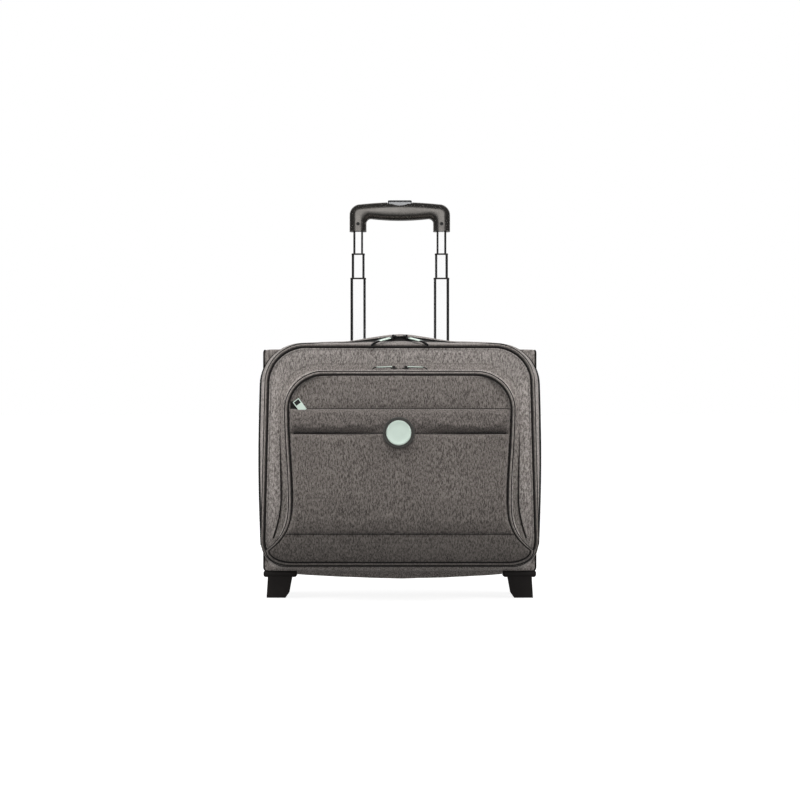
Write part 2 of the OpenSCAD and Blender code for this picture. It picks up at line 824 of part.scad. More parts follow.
module at_pocket_zip(s) {
    mirror([s < 0 ? 1 : 0, 0, 0]) translate([slider_x, y_pocket_zip, p_zip[0] - pocket_in]) children();
}

module at_slip_zip() {
    translate([slip_slider_x, y_pocket_face - tape_t, slip_zip_z + slip_tape_h / 2]) rotate([90, 0, 0])
        children();
}

module main_slider(s) {
    at_main_zip(s) slider(-main_pull_yaw);
}

module main_pull(s) {
    at_main_zip(s) pull(-main_pull_yaw, main_pull_pitch, main_pull_l, pull_w);
}

module pocket_slider(s) {
    at_pocket_zip(s) slider(0);
}

module pocket_pull(s) {
    at_pocket_zip(s) pull(0, pocket_pull_pitch, pocket_pull_l, pull_w);
}

module slip_slider() {
    at_slip_zip() slider(slip_pull_turn);
}

module slip_pull() {
    at_slip_zip() pull(slip_pull_turn, 0, slip_pull_l, slip_pull_w);
}

rear_section();
back_panel();
rear_piping();
rear_band();
base_board();
lining_panel();
laptop_divider();
laptop_strap();
top_bezel();
fixed_tubes();
tube_sockets();
wheel_housing(-1);  // wheel_housing_left
wheel_housing(1);  // wheel_housing_right
axles();
foot(-1);  // foot_left
foot(1);  // foot_right
foot_screws();
grab_handle();
zip_tape_case();
lid_gusset();
lid_panel();
lid_piping();
zip_tape_lid();
pocket_gusset();
pocket_rim();
pocket_panel();
pocket_piping();
slip_gusset();
slip_panel();
slip_band();
slip_zip();
badge_ring();
badge_disc();
stage_1_tube(-1);  // stage_1_tube_left
stage_1_tube(1);  // stage_1_tube_right
stage_1_collars();
stage_2_tube(-1);  // stage_2_tube_left
stage_2_tube(1);  // stage_2_tube_right
stage_2_collars();
stage_3_tube(-1);  // stage_3_tube_left
stage_3_tube(1);  // stage_3_tube_right
grip();
grip_screws();
push_button();
push_rods();
button_spring();
hub(-1);  // hub_left
hub(1);  // hub_right
tyre(-1);  // tyre_left
tyre(1);  // tyre_right
main_slider(-1);  // main_slider_left
main_slider(1);  // main_slider_right
main_pull(-1);  // main_pull_left
main_pull(1);  // main_pull_right
pocket_slider(-1);  // pocket_slider_left
pocket_slider(1);  // pocket_slider_right
pocket_pull(-1);  // pocket_pull_left
pocket_pull(1);  // pocket_pull_right
slip_slider();
slip_pull();
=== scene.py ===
# %% [markdown]
# # A rolling laptop case, dressed in Blender
# The case is a soft zipped box on two rear wheels and two front feet, with a three-stage pull handle.
# The CAD model gives every solid and every joint. This script loads it as a fixed frame, models the
# cloth, piping, zips and finishes over it, and tells the frame which body each new piece moves with.
# Sizes are written in millimetres, as in the part's source. The helpers turn them into metres with MM.

# %% Load the frame
import math
import bmesh
import bpy
from mathutils import Matrix, Vector


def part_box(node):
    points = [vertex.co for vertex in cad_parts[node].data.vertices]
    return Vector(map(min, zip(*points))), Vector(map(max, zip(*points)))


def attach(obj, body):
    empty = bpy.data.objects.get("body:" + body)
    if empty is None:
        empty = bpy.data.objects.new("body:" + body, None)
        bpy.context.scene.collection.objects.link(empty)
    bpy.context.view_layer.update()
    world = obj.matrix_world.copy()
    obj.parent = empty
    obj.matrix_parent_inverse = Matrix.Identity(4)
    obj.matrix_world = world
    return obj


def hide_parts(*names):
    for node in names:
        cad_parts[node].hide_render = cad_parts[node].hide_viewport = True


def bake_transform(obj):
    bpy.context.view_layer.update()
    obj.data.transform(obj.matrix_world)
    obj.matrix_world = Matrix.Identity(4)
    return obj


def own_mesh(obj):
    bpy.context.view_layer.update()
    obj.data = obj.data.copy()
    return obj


MM = 0.001
SIDES = ((-1, "left"), (1, "right"))
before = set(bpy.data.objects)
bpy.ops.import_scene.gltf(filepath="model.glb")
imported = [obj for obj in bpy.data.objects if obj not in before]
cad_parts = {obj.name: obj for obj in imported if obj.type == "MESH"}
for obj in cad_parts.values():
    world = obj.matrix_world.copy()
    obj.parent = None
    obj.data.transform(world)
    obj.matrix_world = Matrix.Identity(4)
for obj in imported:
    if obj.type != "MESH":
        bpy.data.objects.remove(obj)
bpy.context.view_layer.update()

# %% [markdown]
# ## Camera
# The photograph was taken level, straight from the front, from far enough away that the sides of the
# case hardly show. A long lens 2.6 m in front of the lid's seam gives the same slight narrowing of the
# parts behind it, such as the handle. Depth of field stays off, so other views stay sharp as well.

# %% Camera
scene = bpy.context.scene
scene.view_settings.view_transform = "Standard"
camera_data = bpy.data.cameras.new("camera")
camera_data.sensor_width = 36
camera_data.lens = 78.5
camera = bpy.data.objects.new("camera", camera_data)
camera.location = (0.0003, -2.652, 0.302)
camera.rotation_euler = (math.radians(90), 0, 0)
scene.collection.objects.link(camera)
scene.camera = camera
print("camera 2.6 m in front of the lid, lens", camera_data.lens)

# %% Helpers for node trees
WHITE = (1, 1, 1, 1)


def feed(tree, socket, value):
    if isinstance(value, bpy.types.NodeSocket):
        tree.links.new(value, socket)
    else:
        socket.default_value = value


def calc(tree, operation, a, b=0.0, c=0.0):
    node = tree.nodes.new("ShaderNodeMath")
    node.operation = operation
    for socket, value in zip(node.inputs, (a, b, c)):
        feed(tree, socket, value)
    return node.outputs[0]


def place_in(tree, space="Object"):
    apart = tree.nodes.new("ShaderNodeSeparateXYZ")
    tree.links.new(tree.nodes.new("ShaderNodeTexCoord").outputs[space], apart.inputs[0])
    return apart.outputs


def ramp(tree, value, *ends):
    node = tree.nodes.new("ShaderNodeMapRange")
    tree.links.new(value, node.inputs["Value"])
    for socket, end in zip(node.inputs[1:5], ends):
        socket.default_value = end
    return node.outputs[0]


print("helpers for node trees")

# %% [markdown]
# ## Studio
# A white sweep would do, but its far edge shows as a grey band in a level view. A flat floor that glows
# white for camera rays only, under a world that is white for camera and mirror rays, gives the same even
# white and still keeps the soft shadow under the case. The light on the cloth comes from a dim world and
# five large soft lamps, and part of it is painted shade and light in the cloth's colours, set by height
# and by piece. Dark cards that only mirror rays see give the tubes and the grip their dark edges.

# %% World
world = bpy.data.worlds.new("studio")
scene.world = world
world.use_nodes = True
tree = world.node_tree
tree.nodes.clear()
ray = tree.nodes.new("ShaderNodeLightPath").outputs
seen = calc(tree, "MAXIMUM", ray["Is Camera Ray"], ray["Is Glossy Ray"])
seen = calc(tree, "MAXIMUM", seen, ray["Is Transmission Ray"])
sky = ramp(tree, place_in(tree, "Generated")["Z"], -0.3, 0.8, 0.32, 0.46)
blend = tree.nodes.new("ShaderNodeMixShader")
tree.links.new(seen, blend.inputs["Fac"])
for strength, socket in zip((sky, 1.0), blend.inputs[1:]):
    light = tree.nodes.new("ShaderNodeBackground")
    light.inputs["Color"].default_value = WHITE
    feed(tree, light.inputs["Strength"], strength)
    tree.links.new(light.outputs[0], socket)
tree.links.new(blend.outputs[0], tree.nodes.new("ShaderNodeOutputWorld").inputs["Surface"])
print("world ready")

# %% Floor
def added(name, primitive, **settings):
    bpy.ops.object.select_all(action="DESELECT")
    primitive(**settings)
    piece = bpy.context.object
    piece.name = name
    return piece


def plane(name, material, **settings):
    piece = added(name, bpy.ops.mesh.primitive_plane_add, **settings)
    piece.data.materials.append(material)
    return piece


def paint(name, **constants):
    material = bpy.data.materials.new(name)
    material.use_nodes = True
    shader = material.node_tree.nodes["Principled BSDF"]
    for label, value in constants.items():
        shader.inputs[label.replace("_", " ")].default_value = value
    return material, material.node_tree, shader.inputs


floor_paint, tree, shader = paint("floor_white", Base_Color=(0.4, 0.4, 0.4, 1), Roughness=0.9, Emission_Color=WHITE)
camera_ray = tree.nodes.new("ShaderNodeLightPath").outputs["Is Camera Ray"]
tree.links.new(calc(tree, "MULTIPLY", camera_ray, 0.86), shader["Emission Strength"])
floor = plane("floor", floor_paint, size=60)
floor.visible_diffuse = False
print("floor ready")

# %% Lamps and dark cards
def soft_lamp(name, size, place, target, power):
    lamp = bpy.data.lights.new(name, "AREA")
    lamp.shape = "RECTANGLE"
    lamp.size, lamp.size_y = size
    lamp.energy = power
    holder = bpy.data.objects.new(name, lamp)
    holder.location = place
    holder.rotation_euler = (Vector(target) - Vector(place)).to_track_quat("-Z", "Y").to_euler()
    holder.visible_glossy = False
    scene.collection.objects.link(holder)


case_middle = (0, 0, 0.3)
soft_lamp("key_lamp", (1.6, 1.0), (0.0, -2.1, 1.9), case_middle, 14)
soft_lamp("front_lamp", (1.8, 1.0), (0.12, -2.9, 0.7), case_middle, 6)
soft_lamp("top_lamp", (1.6, 0.8), (0, -0.8, 2.3), case_middle, 30)
for side, name in SIDES:
    soft_lamp(name + "_lamp", (0.8, 1.4), (side * 2.2, -0.45, 0.6), (0, -0.08, 0.25), 34)

card_paint = paint("card_black", Base_Color=(0.01, 0.01, 0.01, 1))[0]
for name, place, tilt, size in (
        ("left", (-0.65, -0.4, 0.7), 90, (1.5, 2.4)), ("right", (0.65, -0.4, 0.7), 90, (1.5, 2.4)),
        ("top", (0, -0.5, 1.45), 0, (2.2, 2.6)), ("low", (0, -0.5, 0.001), 0, (2.2, 2.6))):
    card = plane("dark_card_" + name, card_paint, size=1, location=place, rotation=(0, math.radians(tilt), 0))
    card.scale = (*size, 1)
    card.visible_camera = card.visible_diffuse = card.visible_shadow = False
print("five lamps, four dark cards that only gloss sees")

# %% [markdown]
# ## Finishes
# The cloth is a heathered polyester: light and dark yarns twisted together, which read as short upright
# streaks. The tubes are polished aluminium, the grip and feet are moulded plastic with a fine grain, and
# the pulls are painted metal. Cloth, plastic and metal are three shader node groups, built once and
# placed in every material with its own colours, because each effect returns on many pieces.

# %% Helpers for node groups
def srgb(*parts):
    return [((c / 255 + 0.055) / 1.055) ** 2.4 if c > 10 else c / 255 / 12.92 for c in parts] + [1]


def effect(name, *inputs):
    tree = bpy.data.node_groups.new(name, "ShaderNodeTree")
    for label, value in inputs:
        kind = "NodeSocketColor" if isinstance(value, list) else "NodeSocketFloat"
        tree.interface.new_socket(label, in_out="INPUT", socket_type=kind).default_value = value
    for label, kind in (("Colour", "Color"), ("Roughness", "Float"), ("Height", "Float")):
        tree.interface.new_socket(label, in_out="OUTPUT", socket_type="NodeSocket" + kind)
    return tree, tree.nodes.new("NodeGroupInput").outputs


def give(tree, *values):
    for value, socket in zip(values, tree.nodes.new("NodeGroupOutput").inputs):
        tree.links.new(value, socket)


def noise(tree, stretch, detail=2.0):
    place = tree.nodes.new("ShaderNodeMapping")
    place.inputs["Scale"].default_value = stretch
    tree.links.new(tree.nodes.new("ShaderNodeTexCoord").outputs["Object"], place.inputs["Vector"])
    cloud = tree.nodes.new("ShaderNodeTexNoise")
    cloud.inputs["Scale"].default_value = 1.0
    cloud.inputs["Detail"].default_value = detail
    tree.links.new(place.outputs[0], cloud.inputs["Vector"])
    return cloud.outputs["Fac"]


def swing(tree, value, amount, base):
    return calc(tree, "MULTIPLY_ADD", calc(tree, "SUBTRACT", value, 0.5), amount, base)


def tint(tree, factor, a, b, kind="MIX"):
    node = tree.nodes.new("ShaderNodeMix")
    node.data_type = "RGBA"
    node.blend_type = kind
    for index, value in ((0, factor), (6, a), (7, b)):
        feed(tree, node.inputs[index], value)
    return node.outputs[2]


print("helpers for node groups")

# %% Woven cloth
weave, given = effect("woven_cloth", ("Dark Yarn", srgb(90, 86, 83)), ("Light Yarn", srgb(140, 135, 130)),
                      ("Contrast", 1.0), ("Thread", 4500.0))
streak, fleck, patch = (noise(weave, size) for size in ((640, 640, 210), (1500, 1500, 620), (7, 7, 7)))
level = 0.5
for yarns, amount in ((streak, 2.6), (fleck, 2.0), (patch, 0.35)):
    level = swing(weave, yarns, amount, level)
level = swing(weave, level, given["Contrast"], 0.5)
level = calc(weave, "MINIMUM", calc(weave, "MAXIMUM", level, 0.0), 1.0)
yarn = tint(weave, level, given["Dark Yarn"], given["Light Yarn"])
# Each row is a stretch of height in metres and the factors at its two ends, as the photograph's light falls
place, shade = place_in(weave), 1.0
for height in ((0.06, 0.17, 0.5, 1.0), (0.046, 0.06, 3.2, 1.0), (0.042, 0.054, 0.42, 1.0), (0.32, 0.352, 1.0, 0.79)):
    shade = calc(weave, "MULTIPLY", ramp(weave, place["Z"], *height), shade)
turns = [calc(weave, "SINE", calc(weave, "MULTIPLY", out, given["Thread"])) for out in place]
over = calc(weave, "ADD", *(calc(weave, "MULTIPLY", turns[i], turns[2]) for i in (0, 1)))
give(weave, tint(weave, 1.0, yarn, shade, "MULTIPLY"), calc(weave, "MULTIPLY_ADD", fleck, 0.18, 0.74),
     calc(weave, "MULTIPLY_ADD", over, 0.3, calc(weave, "MULTIPLY", streak, 0.8)))
print("group woven_cloth")

# %% Moulded plastic and drawn metal
grain, given = effect("moulded_plastic", ("Colour", srgb(28, 26, 25)), ("Worn", srgb(62, 60, 58)), ("Polish", 0.45))
scuff = noise(grain, (60, 60, 60), 6)
rub = calc(grain, "MULTIPLY", calc(grain, "MAXIMUM", calc(grain, "SUBTRACT", scuff, 0.56), 0.0), 1.8)
give(grain, tint(grain, rub, given["Colour"], given["Worn"]), swing(grain, scuff, 0.3, given["Polish"]),
     noise(grain, (1500, 1500, 1500)))

drawn, given = effect("drawn_metal", ("Colour", srgb(235, 236, 238)), ("Shade", srgb(190, 192, 196)), ("Polish", 0.16))
line = noise(drawn, (1800, 1800, 9))
give(drawn, tint(drawn, calc(drawn, "MULTIPLY", line, 0.5), given["Colour"], given["Shade"]),
     swing(drawn, noise(drawn, (25, 25, 12), 4), 0.14, given["Polish"]), line)
print("groups moulded_plastic, drawn_metal")

# %% Materials
looks = {}


def finish(name, slot, group, values, bump, depth, **constants):
    material, tree, shader = paint(name, **constants)
    look = tree.nodes.new("ShaderNodeGroup")
    look.node_tree = group
    for label, value in values.items():
        look.inputs[label].default_value = srgb(*value) if isinstance(value, tuple) else value
    tree.links.new(look.outputs["Colour"], shader["Base Color"])
    tree.links.new(look.outputs["Roughness"], shader["Roughness"])
    relief = tree.nodes.new("ShaderNodeBump")
    relief.inputs["Strength"].default_value = bump
    relief.inputs["Distance"].default_value = depth
    tree.links.new(look.outputs["Height"], relief.inputs["Height"])
    tree.links.new(relief.outputs[0], shader["Normal"])
    looks[name] = material, slot
    return tree, look


def cloth(name, slot, dark, light, contrast=1.0, thread=4500.0):
    return finish(name, slot, weave, {"Dark Yarn": dark, "Light Yarn": light, "Contrast": contrast, "Thread": thread},
                  0.35, 0.0005, Sheen_Weight=0.12, Sheen_Roughness=0.5, Specular_IOR_Level=0.2)


def plastic(name, slot, colour, worn, polish, bump=0.12, **constants):
    finish(name, slot, grain, {"Colour": colour, "Worn": worn, "Polish": polish}, bump, 0.0003, **constants)


def metal(name, slot, colour, shade, polish):
    finish(name, slot, drawn, {"Colour": colour, "Shade": shade, "Polish": polish}, 0.05, 0.0002, Metallic=1.0)


cloth("case_cloth", "case_fabric", (92, 86, 83), (180, 173, 168))
cloth("pocket_cloth", "pocket_fabric", (70, 65, 62), (140, 133, 128))
# Painted shade: the slip panel and its band are the pocket fabric, given darker yarns than the pocket cloth for the
# shade on them.
cloth("slip_cloth", "pocket_fabric", (66, 61, 58), (134, 127, 122))
cloth("band_shaded_cloth", "pocket_fabric", (59, 55, 52), (121, 114, 110))
# Painted shade: the pocket gusset is one cloth, darker low on its sides and lighter on top, blended by height as the
# light falls.
gusset_shaded_side = {"Dark Yarn": (68, 64, 61), "Light Yarn": (136, 130, 125)}
gusset_lit_top = {"Dark Yarn": (78, 73, 70), "Light Yarn": (154, 147, 142)}
tree, look = cloth("gusset_shaded_cloth", "pocket_fabric", *gusset_shaded_side.values())
height = ramp(tree, place_in(tree)["Z"], 0.15, 0.27, 0, 1)
for yarn in gusset_shaded_side:
    tree.links.new(tint(tree, height, srgb(*gusset_shaded_side[yarn]), srgb(*gusset_lit_top[yarn])), look.inputs[yarn])
cloth("piping_cloth", "piping", (104, 98, 94), (158, 151, 146), 0.8)
cloth("dark_piping", "piping", (24, 22, 21), (42, 39, 37), 0.6)
# Painted shade: the near-black seam tape is set where the seams, grooves and the crease lie in shadow.
cloth("seam_shadow_tape", "piping", (20, 18, 17), (36, 33, 31), 0.6)
cloth("zip_tape", "zip_tape", (22, 20, 20), (40, 38, 37), 0.7, 6000.0)
cloth("lining_cloth", "lining", (58, 57, 58), (92, 91, 92), 0.7, 3000.0)
cloth("webbing", "webbing", (24, 23, 22), (48, 46, 45), 0.8, 2400.0)
cloth("thread_grey", "webbing", (70, 66, 63), (96, 92, 88), 0.6, 9000.0)
plastic("black_plastic", "black_plastic", (41, 38, 37), (52, 49, 48), 0.42, Specular_IOR_Level=0.2)
plastic("grip_plastic", "grip_plastic", (150, 146, 142), (160, 156, 152), 0.28, 0.04, Metallic=0.95)
plastic("slider_black", "slider_black", (20, 19, 19), (58, 56, 55), 0.3, 0.05)
plastic("hub_plastic", "hub_plastic", (70, 70, 71), (104, 103, 102), 0.4)
plastic("tyre_rubber", "tyre_rubber", (22, 22, 22), (60, 58, 56), 0.75, 0.3)
plastic("badge_rubber", "badge_ring", (66, 65, 62), (84, 82, 80), 0.55)
plastic("pull_mint", "pull_mint", (206, 222, 211), (178, 194, 184), 0.32, 0.04)
plastic("badge_mint", "badge_mint", (204, 220, 209), (188, 204, 194), 0.4, 0.05)
metal("tube_metal", "tube_aluminium", (255, 255, 255), (246, 246, 247), 0.08)
metal("button_silver", "button_silver", (196, 197, 199), (150, 151, 154), 0.24)
metal("steel", "steel", (190, 190, 190), (140, 140, 140), 0.3)
print(len(looks), "materials")

# %% [markdown]
# ## Outlines
# Every soft piece of the case follows one outline, seen from the front: a rounded box whose top rises
# towards the middle and whose bottom sags between the feet. Writing that outline once, with the same
# nine values as the part's source, lets each band be lofted from one ring of points to the next, so
# neighbours meet along their seams. The upright of each outline has a fixed number of points, so a
# point of one ring always lies beside the same point of the next.

# %% Outline of the case
wall = 3.0
y_rear, y_square, y_band, y_zip, y_lid, y_seam = 92.0, 6.0, -16.0, -22.0, -28.0, -52.0
o_zip = (210, 209.2, 51, 388, 62, 38, 8.6, 0, 2.4)
o_zip_front = (207.8, 207, 52.5, 388, 61, 37, 2.6, 0, 2.4)
o_zip_rear = o_zip[:6] + (9.6, 0, 2.4)
o_seam = (196, 202, 58.5, 381, 55, 34, 0, 0, 0)
o_band = (211, 210, 46, 391.2, 65, 38, 10.4, 4, 2.4)
o_rear = (208, 208, 42, 380, 12, 12, 0, 12, 0)
o_rear_front = (206.2, 206.2, 42, 378.8, 5, 5, 0, 12, 0)
o_band_end = (203.4, 203.4, 42, 379, 34, 26, 0, 12, 0)


def between(a, b, t):
    return a + (b - a) * t


def clamp(t, top=1):
    return min(max(t, 0), top)


def smoothstep(t):
    return t * t * (3 - 2 * t)


def outline_between(a, b, t):
    return tuple(between(p, q, t) for p, q in zip(a, b))


def hump_at(x):
    return sum(clamp((80 - abs(x + d)) / 68, 1.05) for d in (-9, -4.5, 0, 4.5, 9)) / 5


def belly_at(x):
    t = abs(x) / 156
    return 0 if t >= 1 else 1 - 0.55 * t ** 1.6


def mirrored(half):
    return half + [(-x, z) for x, z in half[-2:0:-1]]


def arc(cx, cz, rx, rz, first, last, steps, ends=0):
    angles = [math.radians(between(first, last, i / steps)) for i in range(steps + ends)]
    return [(cx + rx * math.cos(a), cz + rz * math.sin(a)) for a in angles]


def case_outline(o, d=0):
    top, foot, low, high, r_top, r_low, hump, sag, bulge = o
    crown = 0.24 * hump
    top, foot, low, high, r_top, r_low = top + d, foot + d, low - d, high + d - crown, r_top + d, r_low + d
    run = [155.5 * i / 20 for i in range(21)] + [between(157, foot - r_low, i / 5) for i in range(5)]
    half = [(x, low - sag * belly_at(x)) for x in run]
    half += arc(foot - r_low, low + r_low, r_low, r_low, -90, 0, 12)
    for i in range(16):
        t = i / 16
        x = between(foot, top, t) + bulge * math.sin(math.pi * t)
        half.append((x, between(low + r_low, high - r_top, t)))
    half += arc(top - r_top, high - r_top, r_top, r_top, 0, 90, 14)
    for i in range(27):
        x = (top - r_top) * (1 - i / 26)
        half.append((x, high + crown * (1 - (x / (top - r_top)) ** 4) + hump * hump_at(x)))
    return mirrored(half)


def ring(points, y):
    return [(x, y, z) for x, z in points]


def case_ring(o, d, y):
    return ring(case_outline(o, d), y)


print("outline of", len(case_outline(o_zip)), "points")

# %% [markdown]
# ## Lofting cloth
# A band of cloth could be drawn with bevelled curves, but those can't change their section along the
# way. A grid whose columns run round the outline and whose rows run through the depth can. The grid is
# added as a primitive, each of its points is set on its ring, and the ends are merged into a closed wall.

# %% Helpers for lofts
def alone(piece):
    bpy.ops.object.select_all(action="DESELECT")
    piece.select_set(True)
    bpy.context.view_layer.objects.active = piece
    return piece


def enter(piece, action="SELECT"):
    alone(piece)
    bpy.ops.object.mode_set(mode="EDIT")
    bpy.ops.mesh.select_all(action=action)


def leave():
    bpy.ops.object.mode_set(mode="OBJECT")


def tidy(piece):
    enter(piece)
    bpy.ops.mesh.remove_doubles(threshold=0.00002)
    bpy.ops.mesh.normals_make_consistent(inside=False)
    leave()
    return piece


def smooth_by(angle):
    bpy.ops.object.shade_smooth_by_angle(angle=math.radians(angle))


def grid(name, columns, rows, place):
    piece = added(name, bpy.ops.mesh.primitive_grid_add, x_subdivisions=columns, y_subdivisions=rows, size=2)
    for vertex in piece.data.vertices:
        vertex.co = Vector(place((vertex.co.x + 1) / 2, (vertex.co.y + 1) / 2)) * MM
    return piece


def loft(name, rings, closed=True, smooth=40):
    n, rows = len(rings[0]), len(rings)
    shown = rows if closed else rows - 1
    piece = grid(name, n, shown, lambda u, v: rings[round(v * shown) % rows][round(u * n) % n])
    tidy(piece)
    smooth_by(smooth)
    return piece


print("helpers for lofts")

# %% Helpers for changing and sewing pieces
def modified(piece, kind, **settings):
    modifier = piece.modifiers.new(kind.lower(), kind)
    for label, value in settings.items():
        setattr(modifier, label, value)
    alone(piece)
    bpy.ops.object.modifier_apply(modifier=modifier.name)
    return piece


def rumple(piece, size, strength):
    cloud = bpy.data.textures.new(piece.name + "_rumple", "CLOUDS")
    cloud.noise_scale = size * MM
    cloud.noise_depth = 1
    return modified(piece, "DISPLACE", texture=cloud, texture_coords="LOCAL", strength=strength * MM)


def thicken(piece, thickness, offset=-1):
    tidy(modified(piece, "SOLIDIFY", thickness=thickness * MM, offset=offset))
    smooth_by(60)
    return piece


def box_of(node):
    return [corner * 1000 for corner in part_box(node)]


def sew(piece, body, look, *nodes, slot=None):
    material, usual_slot = looks[look]
    piece.data.materials.clear()
    piece.data.materials.append(material)
    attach(piece, body)
    if nodes:
        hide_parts(*nodes)
    print(piece.name, len(piece.data.polygons), "faces, on", body)
    return piece


def drop(tool):
    bpy.data.objects.remove(tool, do_unlink=True)


def cut(piece, tool):
    modified(piece, "BOOLEAN", operation="DIFFERENCE", object=tool, solver="EXACT")
    drop(tool)


print("helpers for changing and sewing pieces")

# %% [markdown]
# ## Rear section and rear band
# The rear section is a stiffened box with small corners. In front of it a softer band of the same cloth
# swells outwards up to the main zip. Both are lofted as double walls, so the lining side is there when
# the lid opens. The lower rear corners are cut away for the wheel housings.

# %% Rear section
box_stations = [(0, -1.2, 6.4), (0, 0, 7.6), (0.1, 0, 14), (0.4, 0.2, 28), (0.8, 0.4, 45), (1, 0.6, 62), (1, 0.2, 84),
                (1, -0.6, 90.5), (1, -2.4, 92.6)]
box_outlines = [(outline_between(o_rear_front, o_rear, t), d, y) for t, d, y in box_stations]
outer = [case_ring(o_band_end, -2.5, 6.6)] + [case_ring(o, d, y) for o, d, y in box_outlines]
inner = [case_ring(o_band_end, -2.5, 8.2), case_ring(o_rear_front, -wall, 8.4)]
inner += [case_ring(o, d - wall, y) for o, d, y in box_outlines[2:]]
rear_box = loft("rear_box", outer + inner[::-1])
axle_x, axle_y, axle_z = 186, 70, 30


def clear_wheels(piece):
    for side, name in SIDES:
        place = (side * axle_x * MM, axle_y * MM, axle_z * MM)
        room = added("room_" + name, bpy.ops.mesh.primitive_cylinder_add, vertices=96, radius=36.5 * MM, depth=32 * MM,
                     location=place, rotation=(0, math.radians(90), 0))
        bpy.ops.object.transform_apply()
        cut(piece, room)


clear_wheels(rear_box)
rumple(rear_box, 60, 1.2)
sew(rear_box, "case", "case_cloth", "rear_section")

# %% Rear band
def double_wall(name, outline, stations):
    outer, inner = ([ring(outline(o, d - inset), y) for o, d, y in stations] for inset in (0, wall))
    return loft(name, outer + inner[::-1])


stations = []
for i in range(11):
    t = i / 10
    swell = math.sin(math.pi * t)
    shape = outline_between(o_zip_rear, o_band_end, t)
    full = outline_between(shape, o_band, swell)
    stations.append((full, 0, between(y_band, y_square, t)))
rear_band = rumple(double_wall("rear_band_cloth", case_outline, stations), 45, 1.6)
sew(rear_band, "case", "case_cloth", "rear_band")

# %% [markdown]
# ## Piping
# Piping is a cord wrapped in a strip of cloth and sewn into a seam. A bevelled curve gives a round cord
# at once, but the outline rings are here already, so each cord is lofted from eight or ten of them, set
# round a small circle. The black cord edges the rear section, and a light grey one runs round the lid.

# %% Cords of piping
def piping(name, outline, offset, y, radius, sides=10):
    turns = [math.tau * i / sides for i in range(sides)]
    rings = [ring(outline(offset + radius * math.cos(a)), y + radius * math.sin(a)) for a in turns]
    return loft(name, rings, smooth=80)


rear_outline = lambda d: case_outline(o_rear, d)
seam_outline = lambda d: case_outline(o_seam, d)
front_piping = piping("rear_piping_front", lambda d: case_outline(o_rear_front, d), 0.4, y_square + 1.6, 1.8)
for vertex in front_piping.data.vertices:
    sunk = 0.003 * clamp((0.2066 - abs(vertex.co.x)) / 0.0035)
    vertex.co.z += math.copysign(sunk, 0.2 - vertex.co.z)
    vertex.co.y += sunk
sew(front_piping, "case", "dark_piping", "rear_piping")
back_piping = piping("rear_piping_back", rear_outline, -0.6, 93.0, 2.0)
clear_wheels(back_piping)
sew(back_piping, "case", "dark_piping")
# The two dark cords beside the lid's grey piping are painted shade, for the shadow in its seam grooves.
outer_seam = piping("lid_seam_outer", seam_outline, 5.2, y_seam + 8.0, 1.2, 8)
for vertex in outer_seam.data.vertices:
    if vertex.co.z > 0.37:
        vertex.co.z -= 0.003 * clamp((0.145 - abs(vertex.co.x)) / 0.05)
sew(outer_seam, "lid", "seam_shadow_tape")
sew(piping("lid_seam_inner", seam_outline, -0.3, y_seam - 1.6, 1.8, 8), "lid", "seam_shadow_tape")
sew(piping("lid_piping_cord", seam_outline, 3.0, y_seam + 1.6, 1.5), "lid", "piping_cloth", "lid_piping")

# %% [markdown]
# ## Folds
# The lid and the pocket have no hinge: the cloth at their lower edge is the hinge. A narrow strip of cloth
# runs under each fold, between the two bodies that it joins.

# %% Strips under the folds
def fold(name, half, rear, front, heights, bodies, look):
    strip = grid(name, 40, 12, lambda u, v: (between(-half, half, u), between(rear, front, v), between(*heights, v)))
    thicken(strip, 0.8)
    material, slot = looks[look]
    strip.data.materials.append(material)
    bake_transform(strip)
    print(name, "bends between", *bodies)


fold("lid_fold_strip", 168, -14, -31, (50.3, 51.7), ("case", "lid"), "case_cloth")
fold("pocket_fold_strip", 150, -61.5, -69.5, (61.7, 61.9), ("lid", "pocket_front"), "pocket_cloth")

# %% [markdown]
# ## Lid
# The lid is a shallow tray: a side gusset, and a front panel that is padded, so it rises from its seam
# and lies nearly flat further in. Rings of the outline, drawn in step by step towards the middle and
# then back along the inside, give the panel its padded edge and its thickness in one loft.

# %% Lid gusset
stations = []
for i in range(9):
    t = i / 8
    o = outline_between(o_seam, o_zip_front, t)
    stations.append((o, 2.0 * math.sin(math.pi * t), between(y_seam, y_lid, t)))
lid_gusset = rumple(double_wall("lid_side", case_outline, stations), 40, 1.4)
sew(lid_gusset, "lid", "case_cloth", "lid_gusset")

# %% Lid panel
def drawn_in(points, scale, centre_z):
    return [(x * scale, centre_z + (z - centre_z) * scale) for x, z in points]


def padded_rings(outline, steps, cores, centre_z, thick):
    front = [ring(outline(d), y) for d, y in steps]
    core = outline(steps[-1][0])
    front += [ring(drawn_in(core, s, centre_z), y) for s, y in cores]
    back = [[(x, y + thick, z) for x, y, z in points] for points in front]
    return front[::-1] + back


lid_steps = [(0, -51.6), (-0.4, -53.2), (-2, -54.6), (-5, -55.9), (-9, -56.8), (-14, -57.3), (-22, -57.6)]
lid_cores = [(0.8, -57.8), (0.6, -57.9), (0.4, -58), (0.2, -58), (0, -58)]
lid_panel = loft("lid_front", padded_rings(seam_outline, lid_steps, lid_cores, 221, wall), closed=False, smooth=60)
rumple(lid_panel, 70, 1.0)
sew(lid_panel, "lid", "case_cloth", "lid_panel")

# %% [markdown]
# ## Front pocket
# The pocket is an arch with a flared foot. Its rear half is a gusset sewn to the lid, its front half a
# rim behind the piping, and a zip joins the two. Both follow one pocket outline, which grows narrower
# towards the front, so the gusset shows as a darker strip round the arch, its sides darkened partly by
# painted shade in its cloth. At the bottom the front is tucked back a little, as the pocket hangs on its bottom seam.

